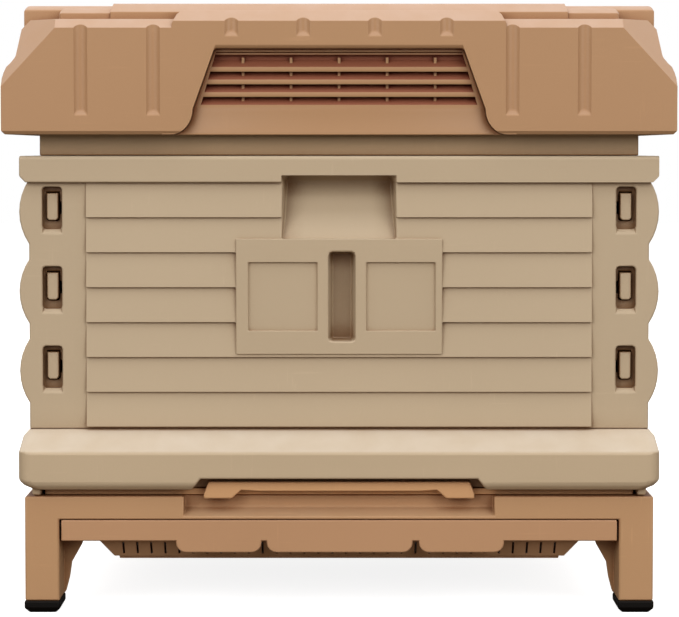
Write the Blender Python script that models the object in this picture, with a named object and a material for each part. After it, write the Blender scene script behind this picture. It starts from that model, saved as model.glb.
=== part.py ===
"""Insulated plastic beehive for ten frames, on a four-legged stand with two drawers.

Metres, Z up. The ground is Z 0, the long side with the drawer pulls faces -Y, and the
origin is under the middle of the hive.
"""
import math

import bmesh
import bpy
from mathutils import Matrix, Vector

# Fits: the gap between pieces that touch, and how far a cutter runs past what it cuts
SEAT_GAP = 0.0003
OVERRUN = 0.002
SLIDE_PLAY = 0.001

# Brood chamber: the clear space for the frames, and the double wall round it
FRAME_COUNT = 10
CHAMBER_LENGTH = 0.466
CHAMBER_DEPTH = 0.376
CHAMBER_HEIGHT = 0.2458
WALL_THICKNESS = 0.0463
SKIN = 0.0045
BOARD_PROUD = 0.0038

# Stand, floor and feeder
STAND_HEIGHT = 0.1051
STAND_SETBACK = 0.010
STAND_SIDE_SETBACK = 0.0053
FOOT_HEIGHT = 0.011
PLINTH_HEIGHT = 0.0061
FLOOR_FACE_HEIGHT = 0.034
LEDGE_DROP = 0.018
LEDGE_DEPTH = 0.034
LEDGE_SIDE = 0.0075
FEEDER_BAND = 0.0189
FEEDER_HEIGHT = 0.045

# Roof
ROOF_SIDE_OVERHANG = 0.0226
ROOF_OVERHANG = 0.016
ROOF_WALL = 0.005
ROOF_DECK_HEIGHT = 0.1031
CROWN_RISE = 0.0153

# Outer faces of the walls, the floor, the stand and the roof, from the middle of the hive
body_half_x = CHAMBER_LENGTH / 2 + WALL_THICKNESS
body_half_y = CHAMBER_DEPTH / 2 + WALL_THICKNESS
floor_half_x = body_half_x + LEDGE_SIDE
floor_half_y = body_half_y + LEDGE_DEPTH
stand_half_x = floor_half_x - STAND_SIDE_SETBACK
stand_half_y = floor_half_y - STAND_SETBACK
roof_half_x = body_half_x + ROOF_SIDE_OVERHANG
roof_half_y = body_half_y + ROOF_OVERHANG

# Heights above the ground, each piece seated a gap above the one that carries it
plinth_bottom = STAND_HEIGHT + SEAT_GAP
floor_bottom = plinth_bottom + PLINTH_HEIGHT
floor_face_top = floor_bottom + FLOOR_FACE_HEIGHT
floor_top = floor_face_top + LEDGE_DROP
body_bottom = floor_top + SEAT_GAP
body_top = body_bottom + CHAMBER_HEIGHT
feeder_bottom = body_top + SEAT_GAP
feeder_top = feeder_bottom + FEEDER_HEIGHT
roof_bottom = feeder_bottom + FEEDER_BAND
roof_deck = roof_bottom + ROOF_DECK_HEIGHT
roof_top = roof_deck + CROWN_RISE

# Colours
TAN = (0.43, 0.25, 0.125)
BEIGE = (0.46, 0.35, 0.24)
FRAME_CREAM = (0.75, 0.68, 0.52)
BLACK = (0.012, 0.012, 0.012)
SMOKE = (0.55, 0.58, 0.58)

for old_object in list(bpy.data.objects):
    bpy.data.objects.remove(old_object, do_unlink=True)

hive = bpy.data.collections.new("beehive")
cutters = bpy.data.collections.new("cutters")
for group in (hive, cutters):
    bpy.context.scene.collection.children.link(group)


# Modelling helpers

def place(name, mesh, group):
    """Put a mesh in the scene as one named object; tools are hidden from renders."""
    item = bpy.data.objects.new(name, mesh)
    group.objects.link(item)
    if group is cutters:
        item.hide_render = True
        item.display_type = 'WIRE'
    return item


def mesh_of(name, bm):
    bmesh.ops.recalc_face_normals(bm, faces=bm.faces)
    mesh = bpy.data.meshes.new(name)
    bm.to_mesh(mesh)
    bm.free()
    return mesh


def boxes(name, corners, group=cutters):
    """One object of separate boxes, each from its low corner to its high corner."""
    bm = bmesh.new()
    for low, high in corners:
        size = Vector(high) - Vector(low)
        middle = (Vector(high) + Vector(low)) / 2
        shape = Matrix.Translation(middle) @ Matrix.Diagonal((*size, 1))
        bmesh.ops.create_cube(bm, size=1, matrix=shape)
    return place(name, mesh_of(name, bm), group)


def box(name, low, high, group=cutters):
    return boxes(name, [(low, high)], group)


def prism(name, outline, axis, start, end, group=cutters):
    """Extrude a flat outline along an axis; its points hold the other two coordinates."""
    curve = bpy.data.curves.new(name, 'CURVE')
    curve.dimensions = '2D'
    curve.fill_mode = 'BOTH'
    curve.extrude = (end - start) / 2
    spline = curve.splines.new('POLY')
    spline.points.add(len(outline) - 1)
    for point, (u, v) in zip(spline.points, outline):
        point.co = (u, v, 0, 1)
    spline.use_cyclic_u = True
    guide = place(name + " outline", curve, cutters)
    evaluated = guide.evaluated_get(bpy.context.evaluated_depsgraph_get())
    mesh = bpy.data.meshes.new_from_object(evaluated)
    bpy.data.objects.remove(guide)
    columns = {
        'X': ((0, 1, 0), (0, 0, 1), (1, 0, 0)),
        'Y': ((1, 0, 0), (0, 0, 1), (0, 1, 0)),
        'Z': ((1, 0, 0), (0, 1, 0), (0, 0, 1)),
    }[axis]
    turn = Matrix(columns).transposed().to_4x4()
    shift = Matrix.Translation(Vector(columns[2]) * (start + end) / 2)
    bm = bmesh.new()
    bm.from_mesh(mesh)
    bpy.data.meshes.remove(mesh)
    bmesh.ops.transform(bm, matrix=shift @ turn, verts=bm.verts)
    bmesh.ops.remove_doubles(bm, verts=bm.verts, dist=SEAT_GAP / 10)
    bmesh.ops.dissolve_limit(bm, angle_limit=math.radians(0.5), verts=bm.verts, edges=bm.edges)
    return place(name, mesh_of(name, bm), group)


def loft(name, rings, group=cutters):
    """Skin rings of equal point counts, listed bottom to top, and close both ends."""
    bm = bmesh.new()
    rows = [[bm.verts.new(point) for point in ring] for ring in rings]
    count = len(rows[0])
    for lower, upper in zip(rows, rows[1:]):
        for index in range(count):
            after = (index + 1) % count
            bm.faces.new((lower[index], lower[after], upper[after], upper[index]))
    bm.faces.new(rows[0])
    bm.faces.new(rows[-1])
    return place(name, mesh_of(name, bm), group)


def rounded_rectangle(half_u, half_v, radius, steps=3, middle=(0, 0)):
    """Outline of a rectangle with round corners, running anticlockwise."""
    points = []
    for quarter, (side_u, side_v) in enumerate(((1, 1), (-1, 1), (-1, -1), (1, -1))):
        centre_u = middle[0] + side_u * (half_u - radius)
        centre_v = middle[1] + side_v * (half_v - radius)
        for step in range(steps + 1):
            angle = math.radians(90) * (quarter + step / steps)
            points.append((centre_u + radius * math.cos(angle),
                           centre_v + radius * math.sin(angle)))
    return points


def level(outline, z):
    return [(x, y, z) for x, y in outline]


def combine(piece, operation, tools):
    for tool in tools:
        modifier = piece.modifiers.new(tool.name, 'BOOLEAN')
        modifier.operation = operation
        modifier.solver = 'EXACT'
        modifier.object = tool


def cut(piece, *tools):
    combine(piece, 'DIFFERENCE', tools)


def fuse(piece, *tools):
    combine(piece, 'UNION', tools)


def settle(piece):
    """Put the finished shape in the piece's own mesh, ready to be turned or shared."""
    bpy.context.view_layer.update()
    evaluated = piece.evaluated_get(bpy.context.evaluated_depsgraph_get())
    mesh = bpy.data.meshes.new_from_object(evaluated)
    piece.modifiers.clear()
    piece.data = mesh


def paint(piece, colour, roughness, metallic=0.0):
    material = bpy.data.materials.new(piece.name + " finish")
    material.use_nodes = True
    shader = material.node_tree.nodes["Principled BSDF"]
    shader.inputs["Base Color"].default_value = (*colour, 1)
    shader.inputs["Roughness"].default_value = roughness
    shader.inputs["Metallic"].default_value = metallic
    if piece.data.materials:
        piece.data.materials[0] = material
    else:
        piece.data.materials.append(material)


def twin(piece, name, turn_degrees):
    """The same moulding once more, turned about the hive's upright middle line."""
    settle(piece)
    other = place(name, piece.data, hive)
    other.rotation_euler = (0, 0, math.radians(turn_degrees))


# Stand: one moulding with a top flange, four legs with gussets, and runners for the lower drawer
RAIL_HEIGHT = 0.0208
RAIL_THICKNESS = 0.026
LEG_WIDTH = 0.0307
LEG_DEPTH = 0.047
STAND_FLANGE = 0.0045
FLANGE_SIDE_MARGIN = 0.023
FLANGE_END_MARGIN = 0.003
GUSSET_REACH = 0.017
GUSSET_THICKNESS = 0.006
RUNNER_HEIGHT = 0.006
RUNNER_DROP = 0.042
FINGER_RECESS_HALF = 0.139
FINGER_RECESS_HEIGHT = 0.0151
FINGER_RECESS_DEPTH = 0.015

leg_inner_x = stand_half_x - LEG_WIDTH
leg_inner_y = stand_half_y - LEG_DEPTH
rail_bottom = STAND_HEIGHT - RAIL_HEIGHT
runner_top = STAND_HEIGHT - RUNNER_DROP


def build_stand():
    stand = box("stand_frame", (-stand_half_x, -stand_half_y, rail_bottom),
                (stand_half_x, stand_half_y, STAND_HEIGHT), hive)
    hollow = box("stand hollow",
                 (RAIL_THICKNESS - stand_half_x, RAIL_THICKNESS - stand_half_y, rail_bottom - OVERRUN),
                 (stand_half_x - RAIL_THICKNESS, stand_half_y - RAIL_THICKNESS,
                  STAND_HEIGHT - STAND_FLANGE))
    flange_x = CHAMBER_LENGTH / 2 - FLANGE_SIDE_MARGIN
    flange_y = CHAMBER_DEPTH / 2 - FLANGE_END_MARGIN
    opening = box("stand opening",
                  (-flange_x, -flange_y, rail_bottom), (flange_x, flange_y, STAND_HEIGHT + OVERRUN))
    cut(stand, hollow, opening)
    legs = []
    for side_x in (-1, 1):
        for side_y in (-1, 1):
            xs = sorted((side_x * leg_inner_x, side_x * stand_half_x))
            ys = sorted((side_y * leg_inner_y, side_y * stand_half_y))
            legs.append(((xs[0], ys[0], FOOT_HEIGHT), (xs[1], ys[1], STAND_HEIGHT - RAIL_HEIGHT / 2)))
    fuse(stand, boxes("stand legs", legs))
    for side_x in (-1, 1):
        gusset = [(side_x * (leg_inner_x + GUSSET_THICKNESS), FOOT_HEIGHT),
                  (side_x * leg_inner_x, FOOT_HEIGHT)]
        for share_out, share_up in ((0.10, 0.04), (0.30, 0.32), (0.42, 0.62), (1.0, 1.0)):
            gusset.append((side_x * (leg_inner_x - GUSSET_REACH * share_out),
                           FOOT_HEIGHT + (runner_top - RUNNER_HEIGHT - FOOT_HEIGHT) * share_up))
        gusset.append((side_x * (leg_inner_x - GUSSET_REACH), runner_top))
        gusset.append((side_x * (leg_inner_x + GUSSET_THICKNESS), runner_top))
        for side_y, label in ((-1, "front"), (1, "rear")):
            ys = sorted((side_y * leg_inner_y, side_y * (leg_inner_y + GUSSET_THICKNESS)))
            fuse(stand, prism(f"gusset {label} {side_x}", gusset, 'Y', ys[0], ys[1]))
        xs = sorted((side_x * (leg_inner_x - GUSSET_REACH), side_x * (leg_inner_x + GUSSET_THICKNESS)))
        fuse(stand, box(f"runner {side_x}",
                        (xs[0], -leg_inner_y - GUSSET_THICKNESS / 2, runner_top - RUNNER_HEIGHT),
                        (xs[1], leg_inner_y + GUSSET_THICKNESS / 2, runner_top)))
        hanger = sorted((side_x * leg_inner_x, side_x * stand_half_x))
        fuse(stand, box(f"side skirt {side_x}",
                        (hanger[0], -leg_inner_y - GUSSET_THICKNESS, runner_top - RUNNER_HEIGHT),
                        (hanger[1], leg_inner_y + GUSSET_THICKNESS, rail_bottom + RAIL_HEIGHT / 2)))
    recess_low = STAND_HEIGHT - FINGER_RECESS_HEIGHT
    lip = FINGER_RECESS_HEIGHT / 2
    recess = prism("finger recess",
                   [(-stand_half_y - OVERRUN, recess_low - lip / 2),
                    (-stand_half_y + FINGER_RECESS_DEPTH, recess_low + lip / 2),
                    (-stand_half_y + FINGER_RECESS_DEPTH, STAND_HEIGHT + OVERRUN),
                    (-stand_half_y - OVERRUN, STAND_HEIGHT + OVERRUN)],
                   'X', -FINGER_RECESS_HALF, FINGER_RECESS_HALF)
    cut(stand, recess)
    paint(stand, TAN, 0.42)


# Feet: a soft black cap pushed on the end of each leg, with its lower edges cut away
FOOT_PROUD = 0.0008
FOOT_CHAMFER = 0.0042


def build_feet():
    for side_x, name_x in ((-1, "left"), (1, "right")):
        for side_y, name_y in ((-1, "front"), (1, "rear")):
            middle = (side_x * (stand_half_x - LEG_WIDTH / 2), side_y * (stand_half_y - LEG_DEPTH / 2))
            rings = []
            for inset, z in ((FOOT_CHAMFER, 0), (0, FOOT_CHAMFER), (0, FOOT_HEIGHT - SEAT_GAP)):
                half_x = LEG_WIDTH / 2 + FOOT_PROUD - inset
                half_y = LEG_DEPTH / 2 + FOOT_PROUD - inset
                rings.append(level(rounded_rectangle(half_x, half_y, FOOT_CHAMFER / 3, 1, middle), z))
            foot = loft(f"foot_{name_y}_{name_x}", rings, hive)
            paint(foot, BLACK, 0.5)


# Lower drawer: a front rail with three hanging lobes, and a slotted hopper under its flange
DRAWER_GAP = 0.0018
DRAWER_FRONT_THICKNESS = 0.012
DRAWER_FRONT_DROP = 0.0400
LOBE_DROP = 0.0107
LOBE_FILLET = 0.009
LOBE_THICKNESS = 0.006
HOPPER_SIDE_GAP = 0.0147
HOPPER_FLARE = 0.015
HOPPER_DROP = 0.0194
HOPPER_WALL = 0.003
HOPPER_BACK_MARGIN = 0.0043
HOPPER_FRONT_SLOPE = 0.017
HOPPER_BASE_HEIGHT = 0.003
HOPPER_BASE_INSET = 0.0044
DRAWER_SLOT_COUNT = 32
DRAWER_SLOT_PITCH = 0.01258
DRAWER_SLOT_WIDTH = 0.0018
DRAWER_SLOT_HEIGHT = 0.0115

drawer_half_x = leg_inner_x - DRAWER_GAP
drawer_top = rail_bottom - 2 * SEAT_GAP
drawer_bottom = STAND_HEIGHT - DRAWER_FRONT_DROP
drawer_flange_bottom = runner_top + SEAT_GAP
drawer_back = DRAWER_FRONT_THICKNESS - stand_half_y
hopper_front = drawer_back + SLIDE_PLAY
hopper_back = CHAMBER_DEPTH / 2 - HOPPER_BACK_MARGIN
hopper_half_x = leg_inner_x - GUSSET_REACH - HOPPER_SIDE_GAP
hopper_bottom = drawer_flange_bottom - HOPPER_DROP
hopper_floor = hopper_bottom + HOPPER_BASE_HEIGHT + HOPPER_WALL / 2


def lobe_outline(left, right):
    """A lobe under the drawer front: straight below, with round lower corners."""
    top = drawer_bottom + LOBE_FILLET / 2
    low = drawer_bottom - LOBE_DROP
    points = [(right, top), (left, top)]
    for corner, start in ((left + LOBE_FILLET, 180), (right - LOBE_FILLET, 270)):
        for step in range(5):
            angle = math.radians(start + 90 * step / 4)
            points.append((corner + LOBE_FILLET * math.cos(angle),
                           low + LOBE_FILLET + LOBE_FILLET * math.sin(angle)))
    return points


def hopper_rings(inset, bottom, top):
    """Rings of the hopper from its floor to its rim, drawn in by a wall when inset."""
    rings = []
    for half_x, slope, z in ((hopper_half_x - HOPPER_FLARE, HOPPER_FRONT_SLOPE, bottom),
                             (hopper_half_x, 0, top)):
        low_y = hopper_front + slope + inset
        high_y = hopper_back - slope - inset
        outline = [(inset - half_x, low_y), (half_x - inset, low_y),
                   (half_x - inset, high_y), (inset - half_x, high_y)]
        rings.append(level(outline, z))
    return rings


def build_debris_tray():
    tray = box("debris_tray", (-drawer_half_x, -stand_half_y, drawer_bottom),
               (drawer_half_x, drawer_back, drawer_top), hive)
    lobe_shares = ((-0.587, -0.279), (-0.261, 0.265), (0.287, 0.594))
    for index, (left, right) in enumerate(lobe_shares):
        fuse(tray, prism(f"lobe {index + 1}", lobe_outline(left * drawer_half_x, right * drawer_half_x),
                         'Y', -stand_half_y, LOBE_THICKNESS - stand_half_y))
    flange_half = leg_inner_x - SLIDE_PLAY
    fuse(tray, box("drawer flange", (-flange_half, drawer_back - OVERRUN, drawer_flange_bottom),
                   (flange_half, hopper_back + HOPPER_WALL, drawer_flange_bottom + HOPPER_WALL)))
    flange_top = drawer_flange_bottom + HOPPER_WALL
    base_x = hopper_half_x - HOPPER_FLARE - HOPPER_BASE_INSET
    base_front = hopper_front + HOPPER_FRONT_SLOPE + HOPPER_BASE_INSET
    base_back = hopper_back - HOPPER_FRONT_SLOPE - HOPPER_BASE_INSET
    fuse(tray, loft("hopper outside", hopper_rings(0, hopper_bottom + HOPPER_BASE_HEIGHT, flange_top)))
    fuse(tray, box("hopper base", (-base_x, base_front, hopper_bottom),
                   (base_x, base_back, hopper_floor - HOPPER_WALL / 4)))
    cut(tray, loft("hopper inside", hopper_rings(HOPPER_WALL, hopper_floor, flange_top + OVERRUN)))
    first = -(DRAWER_SLOT_COUNT - 1) / 2 * DRAWER_SLOT_PITCH
    slot_low = hopper_floor + SLIDE_PLAY
    for label, wall_y in (("front", hopper_front), ("rear", hopper_back - HOPPER_WALL - HOPPER_FRONT_SLOPE)):
        slots = []
        for index in range(DRAWER_SLOT_COUNT):
            x = first + index * DRAWER_SLOT_PITCH
            slots.append(((x - DRAWER_SLOT_WIDTH / 2, wall_y - OVERRUN, slot_low),
                          (x + DRAWER_SLOT_WIDTH / 2,
                           wall_y + HOPPER_WALL + HOPPER_FRONT_SLOPE + OVERRUN,
                           slot_low + DRAWER_SLOT_HEIGHT)))
        cut(tray, boxes(f"{label} drawer slots", slots))
    paint(tray, TAN, 0.42)


# Floor: a moulding with the sloping ledge, hollow below, with the entrance at the back
FLOOR_CORNER = 0.012
PLINTH_INSET = 0.012
PLINTH_WIDTH = 0.008
PULL_HALF = 0.1212
NOTCH_SPREAD_LOW = 0.0103
NOTCH_SPREAD_HIGH = 0.0026
NOTCH_HEIGHT = 0.0103
SCREEN_STEP = 0.016
SCREEN_SEAT_DEPTH = 0.018
ENTRANCE_LENGTH = 0.120
ENTRANCE_HEIGHT = 0.0115
GATE_MARGIN = 0.010
GATE_THICKNESS = 0.0035
GATE_RIM = 0.0065
TRAY_SIDE_MARGIN = 0.008
TRAY_BACK_MARGIN = 0.0143
TRAY_THICKNESS = 0.0054
TONGUE_HEIGHT = 0.004

screen_seat = floor_top - SCREEN_SEAT_DEPTH
entrance_floor = floor_top - ENTRANCE_HEIGHT
gate_front = body_half_y + BOARD_PROUD + SLIDE_PLAY
gate_travel = ENTRANCE_LENGTH + GATE_MARGIN
gate_length = ENTRANCE_LENGTH * 2 + GATE_MARGIN * 3
tray_front = DRAWER_FRONT_THICKNESS - stand_half_y
tray_back = CHAMBER_DEPTH / 2 - TRAY_BACK_MARGIN
tray_half_x = CHAMBER_LENGTH / 2 - TRAY_SIDE_MARGIN
tray_face_half = floor_half_x - PLINTH_INSET - PLINTH_WIDTH - SLIDE_PLAY * 2


def build_floor():
    bottom_edge = FLOOR_CORNER
    rings = []
    profile = ((bottom_edge, bottom_edge / 2, 0),
               (bottom_edge / 3, bottom_edge / 8, bottom_edge / 3),
               (0, 0, bottom_edge * 2 / 3),
               (0, 0, FLOOR_FACE_HEIGHT))
    for inset_x, inset_y, rise in profile:
        outline = rounded_rectangle(floor_half_x - inset_x, floor_half_y - inset_y, FLOOR_CORNER)
        rings.append(level(outline, floor_bottom + rise))
    slope_share = 0.65
    outline = rounded_rectangle(floor_half_x - LEDGE_SIDE / 5, floor_half_y - LEDGE_DEPTH * slope_share,
                                FLOOR_CORNER)
    rings.append(level(outline, floor_face_top + LEDGE_DROP * slope_share))
    outline = rounded_rectangle(body_half_x, body_half_y, FLOOR_CORNER / 3)
    rings.append(level(outline, floor_top))
    floor = loft("bottom_board", rings, hive)
    plinth_x = floor_half_x - PLINTH_INSET
    plinth_y = floor_half_y - PLINTH_INSET
    plinth = []
    for side in (-1, 1):
        xs = sorted((side * plinth_x, side * (plinth_x - PLINTH_WIDTH)))
        plinth.append(((xs[0], -plinth_y, plinth_bottom), (xs[1], plinth_y, floor_bottom + PLINTH_HEIGHT)))
    fuse(floor, boxes("plinth sides", plinth))
    fuse(floor, box("plinth back",
                    (PLINTH_WIDTH / 2 - plinth_x, plinth_y - PLINTH_WIDTH, plinth_bottom),
                    (plinth_x - PLINTH_WIDTH / 2, plinth_y, floor_bottom + PLINTH_HEIGHT)))
    chamber_x = CHAMBER_LENGTH / 2
    chamber_y = CHAMBER_DEPTH / 2
    tongue_x = chamber_x - SLIDE_PLAY
    tongue_y = chamber_y - SLIDE_PLAY
    fuse(floor, box("tongue", (-tongue_x, -tongue_y, floor_top - SKIN),
                    (tongue_x, tongue_y, floor_top + TONGUE_HEIGHT)))
    cut(floor, box("floor well", (SKIN - chamber_x, SKIN - chamber_y, screen_seat),
                   (chamber_x - SKIN, chamber_y - SKIN, floor_top + TONGUE_HEIGHT + OVERRUN)))
    cut(floor, box("floor opening", (SCREEN_STEP - chamber_x, SCREEN_STEP - chamber_y, plinth_bottom),
                   (chamber_x - SCREEN_STEP, chamber_y - SCREEN_STEP, screen_seat + OVERRUN)))
    hollow_y = -tray_front - SLIDE_PLAY * 4
    hollow_low = floor_bottom - OVERRUN
    high_top = floor_top - SKIN * 2
    low_top = entrance_floor - SKIN
    for side in (-1, 1):
        xs = sorted((side * (chamber_x + SKIN), side * (plinth_x - PLINTH_WIDTH - SLIDE_PLAY)))
        cut(floor, box(f"side hollow {side}", (xs[0], -hollow_y, hollow_low), (xs[1], chamber_y, high_top)))
    cut(floor, box("front hollow", (-chamber_x, -hollow_y, hollow_low),
                   (chamber_x, -chamber_y - SKIN, high_top)))
    back_x = plinth_x - PLINTH_WIDTH - SLIDE_PLAY * 2
    cut(floor, box("back hollow", (-back_x, chamber_y + SKIN, hollow_low), (back_x, hollow_y, low_top)))
    low_half = PULL_HALF + NOTCH_SPREAD_LOW
    high_half = PULL_HALF + NOTCH_SPREAD_HIGH
    notch = [(-low_half, floor_bottom - OVERRUN), (low_half, floor_bottom - OVERRUN),
             (low_half, floor_bottom), (high_half, floor_bottom + NOTCH_HEIGHT),
             (-high_half, floor_bottom + NOTCH_HEIGHT), (-low_half, floor_bottom)]
    cut(floor, prism("pull notch", notch, 'Y', -floor_half_y - OVERRUN, tray_front + SLIDE_PLAY * 2))
    cut(floor, box("entrance", (-ENTRANCE_LENGTH / 2, chamber_y - SKIN * 2, entrance_floor),
                   (ENTRANCE_LENGTH / 2, floor_half_y, floor_top + TONGUE_HEIGHT + OVERRUN)))
    groove_half = (gate_length + gate_travel) / 2 + SLIDE_PLAY
    cut(floor, box("gate groove", (-groove_half, gate_front - SEAT_GAP, entrance_floor),
                   (groove_half, gate_front + GATE_THICKNESS + SEAT_GAP, floor_top + OVERRUN)))
    paint(floor, BEIGE, 0.42)


# Screened floor: a slotted plate lying in the floor's well
SCREEN_THICKNESS = 0.0025
SCREEN_SLOT_WIDTH = 0.0032
SCREEN_SLOT_COLUMNS = 4
SCREEN_SLOT_ROWS = 24
SCREEN_MARGIN = 0.024


def build_screen():
    half_x = CHAMBER_LENGTH / 2 - SKIN - SLIDE_PLAY
    half_y = CHAMBER_DEPTH / 2 - SKIN - SLIDE_PLAY
    bottom = screen_seat + SEAT_GAP
    screen = box("floor_screen", (-half_x, -half_y, bottom),
                 (half_x, half_y, bottom + SCREEN_THICKNESS), hive)
    field_x = 2 * (half_x - SCREEN_MARGIN)
    field_y = 2 * (half_y - SCREEN_MARGIN)
    bar_share = 0.08
    column_pitch = field_x / SCREEN_SLOT_COLUMNS
    row_pitch = field_y / SCREEN_SLOT_ROWS
    slot_half = column_pitch * (1 - bar_share) / 2
    slots = []
    for column in range(SCREEN_SLOT_COLUMNS):
        x = (column + 0.5) * column_pitch - field_x / 2
        for row in range(SCREEN_SLOT_ROWS):
            y = (row + 0.5) * row_pitch - field_y / 2
            slots.append(((x - slot_half, y - SCREEN_SLOT_WIDTH / 2, bottom - OVERRUN),
                          (x + slot_half, y + SCREEN_SLOT_WIDTH / 2, bottom + SCREEN_THICKNESS + OVERRUN)))
    cut(screen, boxes("screen slots", slots))
    paint(screen, FRAME_CREAM, 0.5)


# Entrance gate: a plate that slides in the ledge's groove; open at rest, ventilated when closed
GATE_VENT_COUNT = 9
GATE_VENT_WIDTH = 0.003
GATE_TAB_LENGTH = 0.020
GATE_TAB_HEIGHT = 0.006


def build_gate():
    left = -ENTRANCE_LENGTH / 2 - GATE_MARGIN
    right = left + gate_length
    low = entrance_floor + SEAT_GAP
    high = low + ENTRANCE_HEIGHT + GATE_RIM
    back = gate_front + GATE_THICKNESS
    gate = box("entrance_gate", (left, gate_front, low), (right, back, high), hive)
    fuse(gate, box("gate tab", (right - GATE_TAB_LENGTH, gate_front, high - GATE_THICKNESS),
                   (right, back, high + GATE_TAB_HEIGHT)))
    doorway = box("gate doorway", (-ENTRANCE_LENGTH / 2, gate_front - OVERRUN, low - OVERRUN),
                  (ENTRANCE_LENGTH / 2, back + OVERRUN, entrance_floor + ENTRANCE_HEIGHT - OVERRUN))
    cut(gate, doorway)
    vent_pitch = ENTRANCE_LENGTH / (GATE_VENT_COUNT + 1)
    vents = []
    for index in range(GATE_VENT_COUNT):
        x = gate_travel - ENTRANCE_LENGTH / 2 + (index + 1) * vent_pitch
        vents.append(((x - GATE_VENT_WIDTH / 2, gate_front - OVERRUN, low + OVERRUN),
                      (x + GATE_VENT_WIDTH / 2, back + OVERRUN, entrance_floor + ENTRANCE_HEIGHT - OVERRUN)))
    cut(gate, boxes("gate vents", vents))
    paint(gate, TAN, 0.42)


# Upper drawer: a thin pest tray under the screen, with a pull bar in the floor's notch
PULL_FOOT_WIDTH = 0.025
PULL_RISE = 0.0064
PULL_DROP = 0.0086
PULL_BAR_HEIGHT = 0.0064
PULL_THICKNESS = 0.011
PULL_HEEL_ROOM = 0.002
TRAY_RIM = 0.004
TRAY_FLOOR = 0.0016


def build_pest_tray():
    low = plinth_bottom
    high = low + TRAY_THICKNESS
    tray = box("pest_tray", (-tray_half_x, tray_front, low), (tray_half_x, tray_back, high), hive)
    cut(tray, box("tray hollow", (TRAY_RIM - tray_half_x, tray_front + TRAY_RIM, low + TRAY_FLOOR),
                  (tray_half_x - TRAY_RIM, tray_back - TRAY_RIM, high + OVERRUN)))
    fuse(tray, box("tray face", (-tray_face_half, tray_front, low),
                   (tray_face_half, tray_front + TRAY_RIM, high)))
    top = floor_bottom + PULL_RISE
    foot = STAND_HEIGHT - (PULL_DROP - PULL_RISE)
    bar = top - 2 * SLIDE_PLAY - PULL_BAR_HEIGHT
    slant = PULL_FOOT_WIDTH / 3
    half = []
    half.append((PULL_HALF - slant / 2, top))
    half.append((PULL_HALF, foot + slant / 2))
    half.append((PULL_HALF, foot))
    half.append((PULL_HALF - PULL_FOOT_WIDTH, foot))
    half.append((PULL_HALF - PULL_FOOT_WIDTH - slant, bar + SLIDE_PLAY))
    half.append((PULL_HALF - PULL_FOOT_WIDTH - slant * 3, bar))
    outline = half + [(-x, z) for x, z in reversed(half)]
    pull = prism("pull", outline, 'Y', tray_front - PULL_THICKNESS, tray_front + SLIDE_PLAY)
    fuse(tray, pull)
    cut(tray, box("heel room", (-PULL_HALF - OVERRUN, tray_front - PULL_HEEL_ROOM, foot - OVERRUN),
                  (PULL_HALF + OVERRUN, tray_front + SLIDE_PLAY + OVERRUN, low)))
    paint(tray, TAN, 0.42)


# Walls of the brood chamber: rim, lapped boards, ears, windows, hand-hold and plaque
RIM_HEIGHT = 0.0238
RIM_PROUD = 0.006
RIM_SIDE_PROUD = 0.008
RIM_CORNER = 0.0055
RIM_EDGE = 0.002
BOARD_COUNT = 7
BOARD_TOP_PROUD = 0.0008
BOARD_MARGIN = 0.0516
END_BOARD_MARGIN = 0.0377
BOARD_LIFT = 0.0016
EAR_COUNT = 3
EAR_PITCH_SHARE = 0.3234
EAR_START_SHARE = 0.2338
EAR_CHORD_SHARE = 0.808
EAR_REACH = 0.0088
WINDOW_WIDTH = 0.0178
WINDOW_HEIGHT_SHARE = 0.535
WINDOW_INSET = 0.0119
WINDOW_RISE = 0.0034
WINDOW_CORNER = 0.003
WINDOW_SILL = 0.0034
WINDOW_DEPTH = 0.010
RELIEF_WIDTH = 0.0042
RELIEF_HEIGHT = 0.0117
HOOK_WIDTH = 0.0104
HOOK_HEIGHT_SHARE = 0.638
HOOK_TOP_GAP = 0.0058
HOOK_SETBACK = 0.004
HOOK_CORNER = 0.002
HAND_HOLD_LENGTH = 0.104
HAND_HOLD_HEIGHT = 0.0572
HAND_HOLD_DEPTH = 0.026
HAND_HOLD_CORNER = 0.007
HAND_HOLD_DROP = 0.0175
PLAQUE_LENGTH = 0.1854
PLAQUE_HEIGHT = 0.1037
PLAQUE_PROUD = 0.0052
LABEL_SIZE = 0.0618
LABEL_DEPTH = 0.0024
LABEL_MARGIN = 0.010
PLAQUE_SHIFT = 0.0025
SLOT_WIDTH = 0.0244
SLOT_HEIGHT = 0.081
SLOT_DEPTH = 0.020
SLOT_CORNER = 0.0036
SLOT_TAPER = 0.0034
REBATE_WIDTH = 0.012
REBATE_DEPTH = 0.0185
HOLLOW_MARGIN = 0.012

rim_bottom = body_top - RIM_HEIGHT
hand_hold_top = body_top - HAND_HOLD_DROP
plaque_top = hand_hold_top - HAND_HOLD_HEIGHT
board_pitch = (rim_bottom - body_bottom - BOARD_LIFT) / BOARD_COUNT
ear_pitch = (rim_bottom - body_bottom) * EAR_PITCH_SHARE
ear_start = body_bottom + (rim_bottom - body_bottom) * EAR_START_SHARE
window_height = ear_pitch * WINDOW_HEIGHT_SHARE


def ear_levels():
    return [ear_start + ear_pitch * index for index in range(EAR_COUNT)]


def hook_top(centre_z):
    return centre_z + WINDOW_RISE + window_height / 2 - HOOK_TOP_GAP


def hook_outline(middle, top, play=0):
    """Section of a hook with its lower corners cut away; play widens it for its passage."""
    half = HOOK_WIDTH / 2 + play
    low = top - window_height * HOOK_HEIGHT_SHARE - play
    right = [(half - HOOK_CORNER, low), (half, low + HOOK_CORNER), (half, top + play)]
    return [(middle + u, v) for u, v in right] + [(middle - u, v) for u, v in reversed(right)]


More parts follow.
